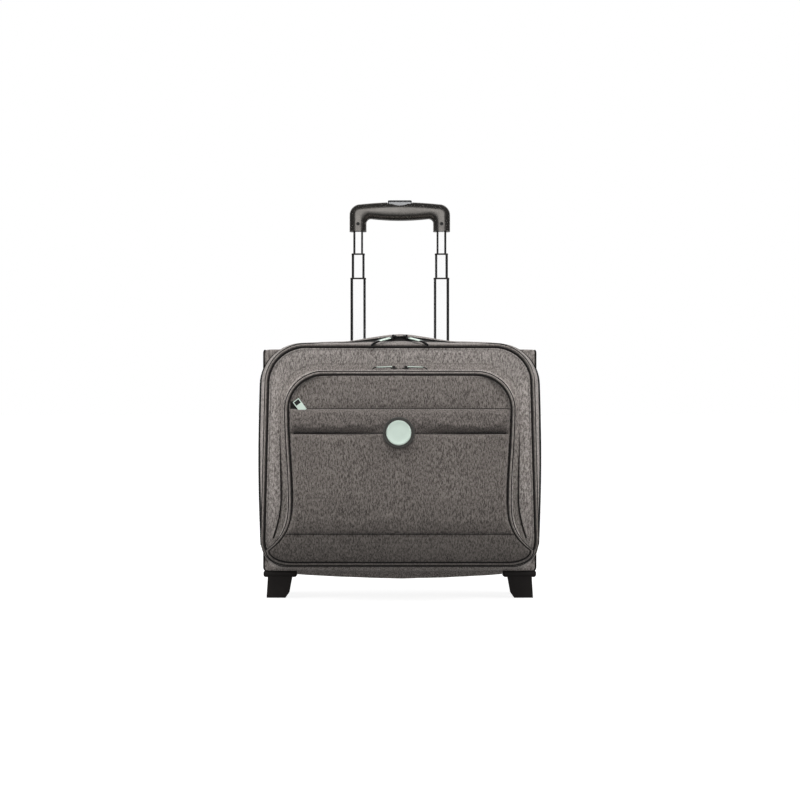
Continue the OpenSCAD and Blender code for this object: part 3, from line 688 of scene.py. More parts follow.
# %% Outline of the pocket
y_pocket_zip, y_pocket_face = -70.0, -85.0
p_base = (356, 61, 178, 175.5, 194, 58, 57, 80, 1.8)
p_pipe = (341.7, 60, 167, 161.5, 195, 55, 54, 80, 3.0)
p_zip = outline_between(p_base, p_pipe, 0.5)
pocket_in = 2.3


def pocket_outline(p, d=0):
    top, low, shoulder, waist, foot, rx, rz, foot_z, flare = p
    top, low, shoulder, waist, foot, rx, rz = top + d, low - d, shoulder + d, waist + d, foot + d, rx + d, rz + d
    half = [((foot - 34) * i / 18, low) for i in range(18)]
    half += arc(foot - 34, foot_z, 34, foot_z - low, -90, 0, 10)
    for i in range(18):
        t = i / 18
        half.append((waist + (foot - waist) * (1 - t) ** flare, foot_z + 75 * t))
    for i in range(12):
        t = i / 12
        half.append((between(waist, shoulder, smoothstep(t)), between(foot_z + 75, top - rz, t)))
    half += arc(shoulder - rx, top - rz, rx, rz, 0, 90, 16)
    half += [((shoulder - rx) * (1 - i / 20), top) for i in range(21)]
    return mirrored(half)


tuck_depth, tuck_top, tuck_foot = 9 * MM, 107 * MM, 61 * MM


def tuck(piece):
    for vertex in piece.data.vertices:
        low, front = (tuck_top - vertex.co.z) / (tuck_top - tuck_foot), (-0.057 - vertex.co.y) / 0.025
        vertex.co.y += tuck_depth * max(low, 0) ** 1.2 * clamp(front)
    return piece


print("pocket outline of", len(pocket_outline(p_zip)), "points")

# %% Pocket gusset and rim
stations = [(p_base, 1.0, -56.6), (p_base, 0.6, -58.0)]
for i in range(1, 6):
    t = i / 6
    stations.append((outline_between(p_base, p_zip, t), -pocket_in * t + 0.9 * math.sin(math.pi * t), -57 - 7 * t))
stations += [(p_zip, -pocket_in, -64.0), (p_zip, -pocket_in, -67.0), (p_zip, -pocket_in, -69.94)]
pocket_side = tuck(rumple(double_wall("pocket_side", pocket_outline, stations), 35, 0.8))
sew(pocket_side, "lid", "gusset_shaded_cloth", "pocket_gusset")

stations = [(p_zip, -pocket_in, -70.06), (p_zip, -pocket_in, -73.0), (p_zip, -pocket_in, -76.0)]
for i in range(1, 6):
    t = i / 5
    stations.append((outline_between(p_zip, p_pipe, t), -pocket_in + 0.9 * math.sin(math.pi * t), -76 - 8.4 * t))
pocket_rim = tuck(rumple(double_wall("pocket_edge", pocket_outline, stations), 35, 0.8))
sew(pocket_rim, "pocket_front", "case_cloth", "pocket_rim", slot="pocket_fabric")

# %% Pocket front panel and piping
pipe_outline = lambda d: pocket_outline(p_pipe, d)
base_outline = lambda d: pocket_outline(p_base, d)
panel_steps = [(-1.6, -83.4), (-3, -83.8), (-4.5, -84.2), (-6, -84.5), (-8, -84.7), (-11, -84.8), (-15, -84.9),
               (-20, -85)]
panel_scales = [0.96 - 0.025 * i for i in range(12)] + [0.6, 0.4, 0.2, 0]
panel_cores = [(scale, y_pocket_face) for scale in panel_scales]
pocket_panel = loft("pocket_front_panel", padded_rings(pipe_outline, panel_steps, panel_cores, 205, wall),
                    closed=False, smooth=60)
bulge_low, bulge_high, bulge_half, bulge_depth = 289 * MM, 341 * MM, 138 * MM, 4.2 * MM
for vertex in pocket_panel.data.vertices:
    vertex.co.y -= 0.0034 * smoothstep(clamp((0.18 - vertex.co.z) / 0.06))
    up = clamp((vertex.co.z - bulge_low) / (bulge_high - bulge_low))
    full = (1 - math.exp(-up / 0.13)) * (1 - math.exp(-(1 - up) / 0.06))
    vertex.co.y -= bulge_depth * full * max(1 - (abs(vertex.co.x) / bulge_half) ** 6, 0)
tuck(rumple(pocket_panel, 60, 0.7))
sew(pocket_panel, "pocket_front", "pocket_cloth", "pocket_panel")
# The two dark cords beside the pocket's piping are painted shade, for the shadow in its seam grooves.
for name, offset, y, radius, sides, look, *nodes in (
        ("pocket_piping_cord", 0.2, -85.4, 1.5, 10, "piping_cloth", "pocket_piping"),
        ("pocket_seam_outer", 2.4, -84.0, 1.0, 8, "seam_shadow_tape"),
        ("pocket_seam_inner", -2.6, -86.0, 1.6, 8, "seam_shadow_tape")):
    sew(tuck(piping(name, pipe_outline, offset, y, radius, sides)), "pocket_front", look, *nodes)

# %% [markdown]
# ## Slip pocket
# A flat pocket covers most of the arch: a large lower panel and a rolled upper band, with a deep crease
# between them. Both are padded cloth, sewn down along their edges. Each starts as a shallow pillow of
# two sheets, and a short cloth simulation under slight pressure pulls its puckers along the seams. Edges
# and back stay pinned, as the seams hold them, and the place under the badge is pinned flat.

# %% Pillows that a seam holds
side_points = sorted((z, x) for x, z in pocket_outline(p_pipe) if x > 120 and z > 81)


def pipe_half(z):
    for (z0, x0), (z1, x1) in zip(side_points, side_points[1:]):
        if z0 <= z <= z1 and z1 > z0:
            return between(x0, x1, (z - z0) / (z1 - z0))
    return side_points[0][1] if z < side_points[0][0] else side_points[-1][1]


def rising(distance, reach):
    return 1 - math.exp(-max(distance, 0) / reach)


pipe_gap, badge_hollow, slip_floor = 3.9, 38, -85.4


def pillow(name, low, high, rise, low_reach, high_reach, columns, rows, dense):
    crease = low if low > 250 else high

    def spot(u, v, front):
        z = between(low, high, dense(v))
        half = pipe_half(z) - pipe_gap
        x = between(-half, half, u)
        side = half - abs(x)
        floor_y = slip_floor - 3.0 * max(1 - abs(z - slip_low) / 20, 0) - 2.2 * max(1 - side / 12, 0)
        fade = math.exp(-(x / badge_hollow) ** 2)
        if min(side, z - low, high - z) < 0.01:
            return x, floor_y - (9.6 * fade if abs(z - crease) < 0.01 else 0), z
        reach = [math.tanh((z - low) / low_reach),
                 0.65 * rising(high - z, high_reach) + 0.35 * rising(high - z, 0.24 * high_reach)]
        near = 0 if crease == low else 1
        reach[near] = 1 - (1 - reach[near]) * (1 - fade)
        lift = rise * (1 - 0.15 * fade) * reach[0] * reach[1] * rising(side, 4.0)
        lift += (1 - (x / half) ** 2) * min(side / 40, 1)
        return x, floor_y - (lift if front else 0.55 * lift), z

    face = grid(name, columns, rows, lambda u, v: spot(u, v, True))
    back = grid(name + "_back", columns, rows, lambda u, v: spot(u, v, False))
    alone(face)
    back.select_set(True)
    bpy.ops.object.join()
    return tidy(face)


print("side of the pocket at its waist", round(pipe_half(170), 1))

# %% Cloth that is pulled tight by its filling
def inflate(piece, pressure, cap, held):
    start = [vertex.co.copy() for vertex in piece.data.vertices]
    sewn = piece.vertex_groups.new(name="sewn")
    sewn.add([i for i, co in enumerate(start) if held(co * 1000)], 1.0, "REPLACE")
    alone(piece)
    cloth_settings = piece.modifiers.new("cloth", "CLOTH").settings
    for label, value in (("vertex_group_mass", "sewn"), ("use_pressure", True), ("uniform_pressure_force", pressure),
                         ("shrink_min", -0.025), ("bending_stiffness", 0.8)):
        setattr(cloth_settings, label, value)
    cloth_settings.effector_weights.gravity = 0
    for moment in range(1, 21):
        scene.frame_set(moment)
    bpy.ops.object.modifier_apply(modifier="cloth")
    scene.frame_set(1)
    for vertex, before in zip(piece.data.vertices, start):
        move = vertex.co - before
        if move.length > cap * MM:
            vertex.co = before + move * (cap * MM / move.length)
    piece.vertex_groups.clear()
    return piece


def plump(piece):
    modified(piece, "SUBSURF", levels=1, render_levels=1)
    bpy.ops.object.shade_smooth()
    return piece


print("cloth simulation", "ready")

# %% Slip pocket
def held_by_seam(co):
    return co.y > pinned_y or co.x ** 2 + (co.z - badge_z) ** 2 < badge_room ** 2


pinned_y, badge_z, badge_room = -93.5, 254, 27
slip_low, slip_crease, slip_top = 104.6, 253.0, 289.0
lower = pillow("slip_lower_panel", slip_low, slip_crease - 0.2, 10.2, 24, 2.2, 80, 44, lambda v: 1 - (1 - v) ** 1.35)
inflate(lower, 4, 2.0, held_by_seam)
sew(plump(lower), "pocket_front", "slip_cloth", "slip_panel", "slip_gusset")
upper = pillow("slip_upper_band", slip_crease + 0.2, slip_top, 14.2, 8.5, 14.5, 80, 24, smoothstep)
inflate(upper, 4, 1.6, held_by_seam)
sew(plump(upper), "pocket_front", "band_shaded_cloth", "slip_band")

# %% [markdown]
# ## Badge
# The badge is a rubber ring round a painted metal disc, left bare. Round pieces could be spun from a
# profile; here the same loft takes rings that are circles, so one helper serves all turned pieces.

# %% Turned pieces
def turned(name, centre, axis, profile, sides=64, closed=False, smooth=35):
    axis = Vector(axis)
    across = axis.orthogonal().normalized()
    along = axis.cross(across)
    arms = [across * math.cos(math.tau * i / sides) + along * math.sin(math.tau * i / sides) for i in range(sides)]
    return loft(name, [[Vector(centre) + arm * r + axis * h for arm in arms] for r, h in profile], closed, smooth)


badge = (-1.5, -98, badge_z)
ring_profile = [(18.4, -0.6), (18.4, 1.2), (18.8, 1.6), (19.7, 1.7), (20.2, 1.35), (20.9, 1.35), (21.4, 1.8),
                (22.4, 1.7), (23.1, 1.1), (23.3, -0.6)]
sew(turned("badge_rim", badge, (0, -1, 0), ring_profile, 96, True), "pocket_front", "badge_rubber", "badge_ring")
disc_profile = [(0, 1.55), (8, 1.5), (15.6, 1.3), (16.2, 1.5), (17.2, 1.55), (17.9, 1.3), (18.4, 0.8), (18.4, -0.4),
                (0, -0.4)]
sew(turned("badge_plate", badge, (0, -1, 0), disc_profile, 96), "pocket_front", "badge_mint", "badge_disc")

# %% [markdown]
# ## Stitches
# A seam is read by its thread. Each row of stitches is one thin tube that runs along the seam and dips
# into the cloth between stitches, as a lockstitch does, which is far lighter than hundreds of pieces.

# %% Rows of stitches
def even(points, step):
    total = [0.0]
    for a, b in zip(points, points[1:]):
        total.append(total[-1] + (Vector(b) - Vector(a)).length)
    count = max(int(total[-1] / step), 2)
    spots, k = [], 0
    for i in range(count + 1):
        want = total[-1] * i / count
        while k < len(points) - 2 and total[k + 1] < want:
            k += 1
        t = (want - total[k]) / max(total[k + 1] - total[k], 1e-9)
        spots.append(Vector(points[k]).lerp(Vector(points[k + 1]), min(t, 1)))
    return spots


def heading(spots, i):
    return (spots[min(i + 1, len(spots) - 1)] - spots[max(i - 1, 0)]).normalized()


def tube_along(name, spots, radius, sides=5, out=(0, -1, 0)):
    out = Vector(out)
    rings = []
    for i, spot in enumerate(spots):
        ahead = heading(spots, i)
        side = ahead.cross(out).normalized()
        up = side.cross(ahead)
        rings.append([spot + (side * math.cos(a) + up * math.sin(a)) * radius
                      for a in (math.tau * j / sides for j in range(sides))])
    return loft(name, rings, closed=False, smooth=80)


stitch_pitch = 4.2


def stitches(name, points, body, out=(0, -1, 0)):
    spots = even(points, stitch_pitch / 4)
    dips = [(-0.3, 0.1, 0.25, 0.1)[i % 4] for i in range(len(spots))]
    row = tube_along(name, [spot + Vector(out) * dip for spot, dip in zip(spots, dips)], 0.28, 5, out)
    return sew(row, body, "thread_grey")


def arch(outline, d, y, low):
    points = [(x, y, z) for x, z in outline(d)]
    start = next(i for i, p in enumerate(points) if p[2] > low and p[0] > 0)
    stop = next(i for i, p in enumerate(points) if p[2] <= low and i > start)
    return points[start:stop]


def whole_loop(outline, d, y):
    points = [(x, y, z) for x, z in outline(d)]
    return points + points[:1]


print("a stitch is", stitch_pitch, "mm long")

# %% Seams and stitches of the lid and the pockets
# Each seam tube is painted shade: a dark line where a seam, its groove or the crease lies in shadow.
def seam(name, spots, radius, body="pocket_front", sides=6):
    sew(tube_along(name, spots, radius, sides), body, "seam_shadow_tape")


stitches("lid_stitches", whole_loop(seam_outline, -4.2, -56.0), "lid")
stitches("pocket_stitches", arch(pipe_outline, -6.5, -87.3, 300), "pocket_front")
base_side = [(x, z) for x, z in base_outline(1.0) if x > 100 and 93 < z < 275]
for side, name in SIDES:
    points = [(side * x, -57.9 + 2 * clamp((z - 180) / 90), z) for x, z in base_side]
    seam("pocket_base_seam_" + name, even(points, 3), 1.2, "lid", 8)
    crease = [Vector((side * x, -86.2 - 2.8 * min((x - 54) / 45, 1), slip_crease)) for x in range(54, 159, 3)]
    seam("slip_crease_" + name, crease, 1.1)
seam("slip_top_seam", [Vector((x, -85.9, slip_top + 0.3)) for x in range(-138, 163, 4)], 0.45)
seam("slip_low_seam", [Vector((x, -88.5, slip_low)) for x in range(-168, 169, 4)], 0.5)

# %% [markdown]
# ## Zips
# A coil zip is two woven tapes, each with a wound plastic coil along its edge. The main zip runs from one
# lower corner over the top to the other, and the bottom stays closed as the fold of the lid. Each coil is
# a thin tube that winds round its tape's edge. The two halves ride on different bodies, so the zip parts.

# %% Tapes and coils
def zip_at(y):
    a, b, start = (o_zip_front, o_zip, y_lid) if y < y_zip else (o_zip, o_zip_rear, y_zip)
    return outline_between(a, b, (y - start) / 6)


def tape(name, body, front, rear, node):
    steps = [(0, front), (0.15, (front + rear) / 2), (0, rear), (-1.6, rear), (-1.6, front)]
    return sew(loft(name, [case_ring(zip_at(y), d, y) for d, y in steps]), body, "zip_tape", node)


def coil(name, body, path, offset, radius=0.9, pitch=1.8, wire=0.42):
    spots = even(path, pitch / 6)
    across, wound = Vector((0, 1, 0)), []
    for i, spot in enumerate(spots):
        out = heading(spots, i).cross(across).normalized()
        a = math.tau * (i / 6 + offset)
        wound.append(spot + out * radius * math.cos(a) + across * radius * math.sin(a))
    return sew(tube_along(name, wound, wire, 4), body, "slider_black", slot="zip_tape")


zip_outline = lambda d: case_outline(o_zip, d)
pocket_zip_outline = lambda d: pocket_outline(p_zip, d)
tape("main_tape_case", "case", y_zip + 0.3, y_band, "zip_tape_case")
tape("main_tape_lid", "lid", y_lid, y_zip - 0.3, "zip_tape_lid")
fine = (0.65, 1.6, 0.34)
for body, rider, sign, offset in (("case", "lid", 1, 0), ("lid", "pocket_front", -1, 0.5)):
    coil("main_coil_" + body, body, arch(zip_outline, 0.2, y_zip + 1.25 * sign, 80), offset)
    pocket_path = arch(pocket_zip_outline, -3.6, y_pocket_zip + sign, 110)
    coil("pocket_coil_" + rider.replace("pocket_", ""), rider, pocket_path, offset, *fine)

# %% Concealed zip of the slip pocket
def strip(name, half, low, high, y, rise):
    def spot(u, v):
        return between(-half, half, u), y - rise * math.sin(math.pi * v) ** 0.5, between(low, high, v)

    return thicken(grid(name, 60, 6, spot), 0.6, 1)


sew(strip("slip_zip_flap", 156, 287.5, 297, -84.5, 0.4), "pocket_front", "pocket_cloth", "slip_zip")
coil("slip_coil", "pocket_front", [(x, -86.4, 287) for x in range(-157, 158, 3)], 0, 0.6, 1.6, 0.34)

# %% [markdown]
# ## Sliders and pulls
# A slider is a cast body with a tapered nose and two lugs that hold the pull. It is modelled once, from a
# box that is extruded, tapered and bevelled, and copied to each zip. The pull is a painted plate with a
# black tip. Each copy gets its place in its own mesh, so the object itself stays unturned.

# %% Helpers for small castings
def boxed(name, low, high, bevel=0.4, segments=2):
    piece = added(name, bpy.ops.mesh.primitive_cube_add, size=1)
    for vertex in piece.data.vertices:
        vertex.co = [(lo if c < 0 else hi) * MM for c, lo, hi in zip(vertex.co, low, high)]
    if bevel:
        enter(piece)
        bpy.ops.mesh.bevel(offset=bevel * MM, segments=segments, affect="EDGES")
        leave()
    return piece


def joined(name, pieces):
    alone(pieces[0])
    for piece in pieces:
        piece.select_set(True)
    bpy.ops.object.join()
    pieces[0].name = name
    smooth_by(40)
    return pieces[0]


def rod(name, a, b, radius, sides=16):
    a, b = Vector(a), Vector(b)
    length = (b - a).length
    edge, inset = radius * 0.25, radius * 0.75
    profile = [(0, 0), (inset, 0), (radius, edge), (radius, length - edge), (inset, length), (0, length)]
    return turned(name, a, (b - a).normalized(), profile, sides)


print("helpers for small castings")

# %% A slider and a pull
slider_body = boxed("slider_body", (-5, -4, 0.4), (5, 4, 2.2), 0)
enter(slider_body)
for face in bmesh.from_edit_mesh(slider_body.data).faces:
    face.select = face.normal.x > 0.9
bpy.ops.mesh.extrude_region_move(TRANSFORM_OT_translate={"value": (0.0014, 0, 0)})
bpy.ops.transform.resize(value=(1, 0.55, 0.8))
bpy.ops.mesh.select_all(action="SELECT")
bpy.ops.mesh.bevel(offset=0.0005, segments=2, affect="EDGES")
leave()
lugs = [boxed("lug", (-1.7, s * 2.4 - 0.55, 1.8), (1.7, s * 2.4 + 0.55, 5.0), 0.5) for s in (-1, 1)]
slider_model = joined("slider_model", [slider_body] + lugs)


def pull_model(name, length, width, tip, start):
    end = length - tip
    plate = boxed(name, (start, -width / 2, -0.6), (end, width / 2, 0.6), 0)
    enter(plate)
    for edge in bmesh.from_edit_mesh(plate.data).edges:
        edge.select = abs(edge.verts[0].co.z - edge.verts[1].co.z) > 0.001
    bpy.ops.mesh.bevel(offset=width * 0.0002, segments=5, affect="EDGES")
    bpy.ops.mesh.select_all(action="SELECT")
    bpy.ops.mesh.bevel(offset=0.00025, segments=2, affect="EDGES", clamp_overlap=True)
    leave()
    return plate


print("slider", len(slider_model.data.polygons), "faces")

# %% Helpers for placing copies
def placed(model, name, matrix):
    copy = bpy.data.objects.new(name, model.data.copy())
    scene.collection.objects.link(copy)
    metres = matrix.copy()
    metres.translation = matrix.translation * MM
    copy.data.transform(metres)
    if matrix.determinant() < 0:
        copy.data.flip_normals()
    return copy


def turn(angle, axis):
    return Matrix.Rotation(math.radians(angle), 4, axis)


def shift(x, y, z):
    return Matrix.Translation((x, y, z))


def aim(start, along, up):
    x = Vector(along).normalized()
    y = Vector(up).cross(x).normalized()
    return shift(*start) @ Matrix((x, y, x.cross(y))).transposed().to_4x4()


flip = Matrix.Diagonal((-1, 1, 1, 1))
pin_lift = 3.7
print("pin of a pull", pin_lift, "mm above its zip")

# %% Places of the sliders and pulls
slope = math.degrees(math.atan(9.2 / 68))
main_place = shift(8.5, y_zip - 0.5, 386.2 + 8.6 * (80 - 8.5) / 68) @ turn(slope, "Y") @ turn(34, "X")
main_lie = aim((9.5, y_zip - 4, 396.8), (32.5, -36, -9.9), (0, -0.3, 0.95))
pocket_place = shift(8.5, y_pocket_zip, p_zip[0] - pocket_in + 1.2)
slip_place = shift(-145, -85, 293) @ turn(90, "X") @ Matrix.Diagonal((1, 0.75, 0.4, 1))
slip_lie = aim((-146.6, -87.2, 293), (-0.6, 0, 0.8), (0, -1, 0))
print("slope of the main zip beside the middle", round(slope, 1), "degrees")

# %% Pulls and their tips
def tip_model(name, start, length, width, thick, droop):
    rings = []
    for i in range(13):
        t = i / 12
        full = (1 - (2 * t - 1) ** 6) ** 0.5
        flat = between(1, 0.7, t) * full
        rise = thick * between(0.6, 1.1, t) * full
        rings.append([(start + length * t, width / 2 * flat * math.cos(a), rise * math.sin(a) - droop * t * t)
                      for a in (math.tau * j / 14 for j in range(14))])
    return loft(name, rings, closed=False, smooth=60)


main_pull = pull_model("main_pull_model", 47.5, 5.4, 15, 8)
main_tip = tip_model("main_tip_model", 30.5, 19.5, 7.0, 1.6, 4.6)
pocket_pull = pull_model("pocket_pull_model", 33, 4.4, 7, 3)
pocket_tip = tip_model("pocket_tip_model", 24.5, 8.5, 4.6, 1.25, 3)
slip_pull = boxed("slip_pull_model", (-9, -5.4, -0.6), (11, 5.4, 0.6), 0.3)
window = boxed("window", (3.6, -4.1, -2), (9.8, 4.1, 2), 0.3)
cut(slip_pull, window)
# Painted shadow: a black patch behind the slip pull's window, so that the window shows dark as if in shade.
hole_shadow_patch = boxed("hole_shadow_model", (2.8, -5.1, -1.5), (10.6, 5.1, -0.8), 0.2)
arms = []
for half, first, end in ((3.4, 2.6, 31.5), (2.8, 4.2, 26)):
    arms.append([rod("bar", (0, -2.9, 0), (0, 2.9, 0), 0.75, 12),
                 boxed("neck", (-0.2, -1.5, -0.9), (9, 1.5, 0.5), 0.3),
                 boxed("frame", (first, -half, -1.2), (end, half, -0.3), 0.3)])
main_tip = joined("main_tip_model", [main_tip] + arms[0])
pocket_tip = joined("pocket_tip_model", [pocket_tip] + arms[1])
print("pulls of", len(main_pull.data.polygons), "and", len(pocket_pull.data.polygons), "faces")

# %% Copies on the zips
for side in ("left", "right"):
    mirror = flip if side == "left" else Matrix.Identity(4)
    for zip_name, place, lie, plate, tip in (
            ("main", main_place @ turn(-30, "Z"), main_lie, main_pull, main_tip),
            ("pocket", pocket_place, pocket_place @ shift(0, 0, pin_lift) @ turn(2, "Y") @ turn(3, "X"), pocket_pull,
             pocket_tip)):
        slid, pulled = f"{zip_name}_slider_{side}", f"{zip_name}_pull_{side}"
        sew(placed(slider_model, slid + "_cast", mirror @ place), slid, "slider_black", slid)
        sew(placed(plate, pulled + "_plate", mirror @ lie), pulled, "pull_mint", pulled)
        sew(placed(tip, pulled + "_tip", mirror @ lie), pulled, "slider_black")
sew(placed(slider_model, "slip_slider_cast", slip_place), "slip_slider", "slider_black", "slip_slider")
sew(placed(slip_pull, "slip_pull_plate", slip_lie), "slip_pull", "pull_mint", "slip_pull")
sew(placed(hole_shadow_patch, "slip_pull_hole_shadow", slip_lie), "slip_pull", "slider_black")
# The zip's end, made as large as the dark gap beside the pull: partly the real end, partly painted shadow.
zip_end_and_shadow = boxed("slip_zip_end_and_shadow", (-161, -86.2, 288), (-150, -85.2, 300), 0.4)
sew(zip_end_and_shadow, "pocket_front", "zip_tape")
for model in (slider_model, main_pull, main_tip, pocket_pull, pocket_tip, slip_pull, hole_shadow_patch):
    drop(model)

# %% [markdown]
# ## Grip
# The grip is one moulding with a crowned bar and a stub over each tube. Its front and rear edges are
# rounded. Drawing the same front view a little smaller for each step of that rounding, and lofting the
# steps, keeps the rounding even along the whole edge. The two flat faces are filled, and the seat of the
# button and the sunk screw holes are cut out.

# %% Grip
def grip_outline(inset):
    half, stub_in = 78.5 - inset, 52 + inset
    top, under, low = 610.8 - inset, 584 + inset, 565.2
    r_out, r_in = max(17 - inset, 2), 7 + inset * 0.6
    points = [((stub_in - r_in) * i / 10, under - 1.6 + 2.6 * (i / 10) ** 2) for i in range(10)]
    points += arc(stub_in - r_in, under + 1 - r_in, r_in, r_in, 90, 0, 8, 1)
    points += [(stub_in, between(under + 1 - r_in, low, t)) for t in (0.35, 0.7)]
    points += [(stub_in, low), (between(stub_in, half, 0.5), low), (half, low)]
    shoulder = top - 3.3
    points += [(half, between(low, shoulder - r_out, t)) for t in (0.3, 0.65)]
    points += arc(half - r_out, shoulder - r_out, r_out, r_out, 0, 90, 10, 1)
    points += [((half - r_out) * (1 - i / 14), top - 3.3 * (1 - i / 14) ** 2) for i in range(1, 15)]
    return mirrored(points)


tube_x, tube_y = 65, 75
edge_r = 10.5
rings = []
for i in range(7):
    a = math.radians(90 * i / 6)
    rings.append(ring(grip_outline(edge_r * (1 - math.sin(a))), 60 + edge_r * (1 - math.cos(a))))
rings += [[(x, 2 * tube_y - y, z) for x, y, z in points] for points in rings[::-1]]
grip = loft("grip_moulding", rings, closed=False)
enter(grip, "DESELECT")
bpy.ops.mesh.select_non_manifold()
bpy.ops.mesh.fill_holes(sides=0)
bpy.ops.mesh.select_all(action="SELECT")
bpy.ops.mesh.normals_make_consistent(inside=False)
leave()
seat = boxed("seat", (-19.4, 63, 600.5), (19.4, 87, 620), 2.5, 4)
scoop = turned("scoop", (0, 55, 632.6), (0, 1, 0), [(0, 0), (28, 0), (28, 9), (0, 9)], 96)
cut(grip, seat)
cut(grip, scoop)
for x in (-tube_x, tube_x):
    for radius, depth in ((2.7, 3.0), (1.6, 9)):
        cut(grip, rod("hole", (x, 50, 576), (x, 60 + depth, 576), radius, 32))
    cut(grip, boxed("socket", (x - 8.1, 70.3, 560), (x + 8.1, 79.7, 586.2), 0))
smooth_by(32)
sew(grip, "stage_3", "grip_plastic", "grip")

# %% Push button
def rounded_box(low, high, r, steps, first=0):
    points = []
    for start in range(first, first + 360, 90):
        middle = math.radians(start + 45)
        cx = high[0] - r if math.cos(middle) > 0 else low[0] + r
        cy = high[1] - r if math.sin(middle) > 0 else low[1] + r
        points += arc(cx, cy, r, r, start, start + 90, steps, 1)
    return points


def button_ring(half, y_front, y_rear, z, r):
    crown = 0.5 if z > 606 else 0
    return [(x, y, z - crown * (x / half) ** 2) for x, y in rounded_box((-half, y_front), (half, y_rear), r, 6)]


steps = [(18.7, 64, 86, 601, 2), (18.7, 63.6, 86.4, 608, 2), (18.6, 63.6, 86.4, 612.6, 2), (18.3, 64.0, 86, 613.2, 2),
         (17.4, 65.2, 84.8, 613.5, 2), (12, 69, 81, 613.6, 2), (6, 73, 77, 613.6, 1.5)]
rings = [button_ring(*step) for step in steps]
rings = [[(0, tube_y, 601)] * 28] + rings + [[(0, tube_y, 613.6)] * 28]
sew(loft("button_cap", rings, closed=False, smooth=50), "button", "button_silver", "push_button")

# %% Spring under the button
low, high = box_of("button_spring")
turns = 5
helix = []
for i in range(turns * 16 + 1):
    a = math.tau * i / 16
    z = between(low.z + 0.5, high.z - 0.5, i / (turns * 16))
    helix.append(Vector((2.4 * math.cos(a), tube_y + 2.4 * math.sin(a), z)))
coil_spring = tube_along("button_coil", helix, 0.45, 8, (0, 0, 1))
sew(coil_spring, "stage_3", "steel", "button_spring")
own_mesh(coil_spring)

# %% [markdown]
# ## Rigid mouldings
# Feet, wheel housings, the top frame and the tube sockets have their right shape in the CAD model, but their
# edges are knife sharp, and a moulding never is. A copy of each mesh is merged, its flat triangles are
# joined into faces, and its edges are bevelled, so that they catch the light. The tubes and their collars
# are lofted anew from rounded boxes, so that their corners are even and reflect cleanly.

# %% Bevelled copies of the mouldings
def softened(node, name, bevel, look="black_plastic"):
    piece = bpy.data.objects.new(name, bpy.data.objects[node].data.copy())
    scene.collection.objects.link(piece)
    enter(piece)
    bpy.ops.mesh.remove_doubles(threshold=0.00001)
    bpy.ops.mesh.dissolve_limited(angle_limit=math.radians(1.5))
    leave()
    modified(piece, "BEVEL", width=bevel * MM, segments=3, limit_method="ANGLE", angle_limit=math.radians(35),
             use_clamp_overlap=True)
    smooth_by(40)
    sew(piece, "case", look, node)


for side in ("left", "right"):
    softened("foot_" + side, "foot_block_" + side, 2.4)
    low, high = box_of("foot_" + side)
    ends = sorted((math.copysign(208.4, low.x), math.copysign(157.2, low.x)))
    lip = boxed("foot_lip_" + side, (ends[0], low.y - 1, 31.4), (ends[1], high.y - 0.5, high.z - 0.3), 3.8, 5)
    smooth_by(40)
    sew(lip, "case", "black_plastic")
    softened("wheel_housing_" + side, "wheel_cup_" + side, 0.8)
softened("top_bezel", "handle_frame", 1.8)
softened("tube_sockets", "tube_feet", 1.2)

# %% Tubes and collars
def wall_of(name, half, deep, r, x, steps):
    rings = []
    for d, z in steps:
        low, high = (x - half + d, tube_y - deep + d), (x + half - d, tube_y + deep - d)
        rings.append([(px, py, z) for px, py in rounded_box(low, high, max(r - d, 0.5), 6)])
    return loft(name, rings)


for stage, r in ((1, 5.2), (2, 4.8), (3, 4.2)):
    for side, x in (("left", -tube_x), ("right", tube_x)):
        node = f"stage_{stage}_tube_{side}"
        low, high = box_of(node)
        steps = [(0, low.z), (0, high.z), (1.1, high.z), (1.1, low.z)]
        tube = wall_of(f"stage_{stage}_pipe_{side}", (high.x - low.x) / 2, (high.y - low.y) / 2, r, x, steps)
        sew(tube, f"stage_{stage}", "tube_metal", node)
for stage, r in ((1, 5.2), (2, 4.8)):
    low, high = box_of(f"stage_{stage}_collars")
    half, deep = high.x - tube_x, high.y - tube_y
    for name, share, look, *nodes in (("sleeves", (0, 0.42), "tube_metal"),
                                      ("rings", (0.42, 1), "black_plastic", f"stage_{stage}_collars")):
        bottom, top = (between(low.z, high.z, t) for t in share)
        steps = [(0, bottom), (0, top - 0.25), (0.25, top), (1.0, top), (1.0, bottom)]
        loops = [wall_of(f"{name}_{side}", half, deep, r, tube_x * side, steps) for side in (-1, 1)]
        sew(joined(f"stage_{stage}_{name}", loops), f"stage_{stage}", look, *nodes)

# %% [markdown]
# ## Wheels
# Each wheel is a plastic hub in a rubber tyre. The tyre is turned from a profile with a round shoulder
# and two grooves. Each face of the hub has six ribs, which are bevelled boxes turned round the axle.

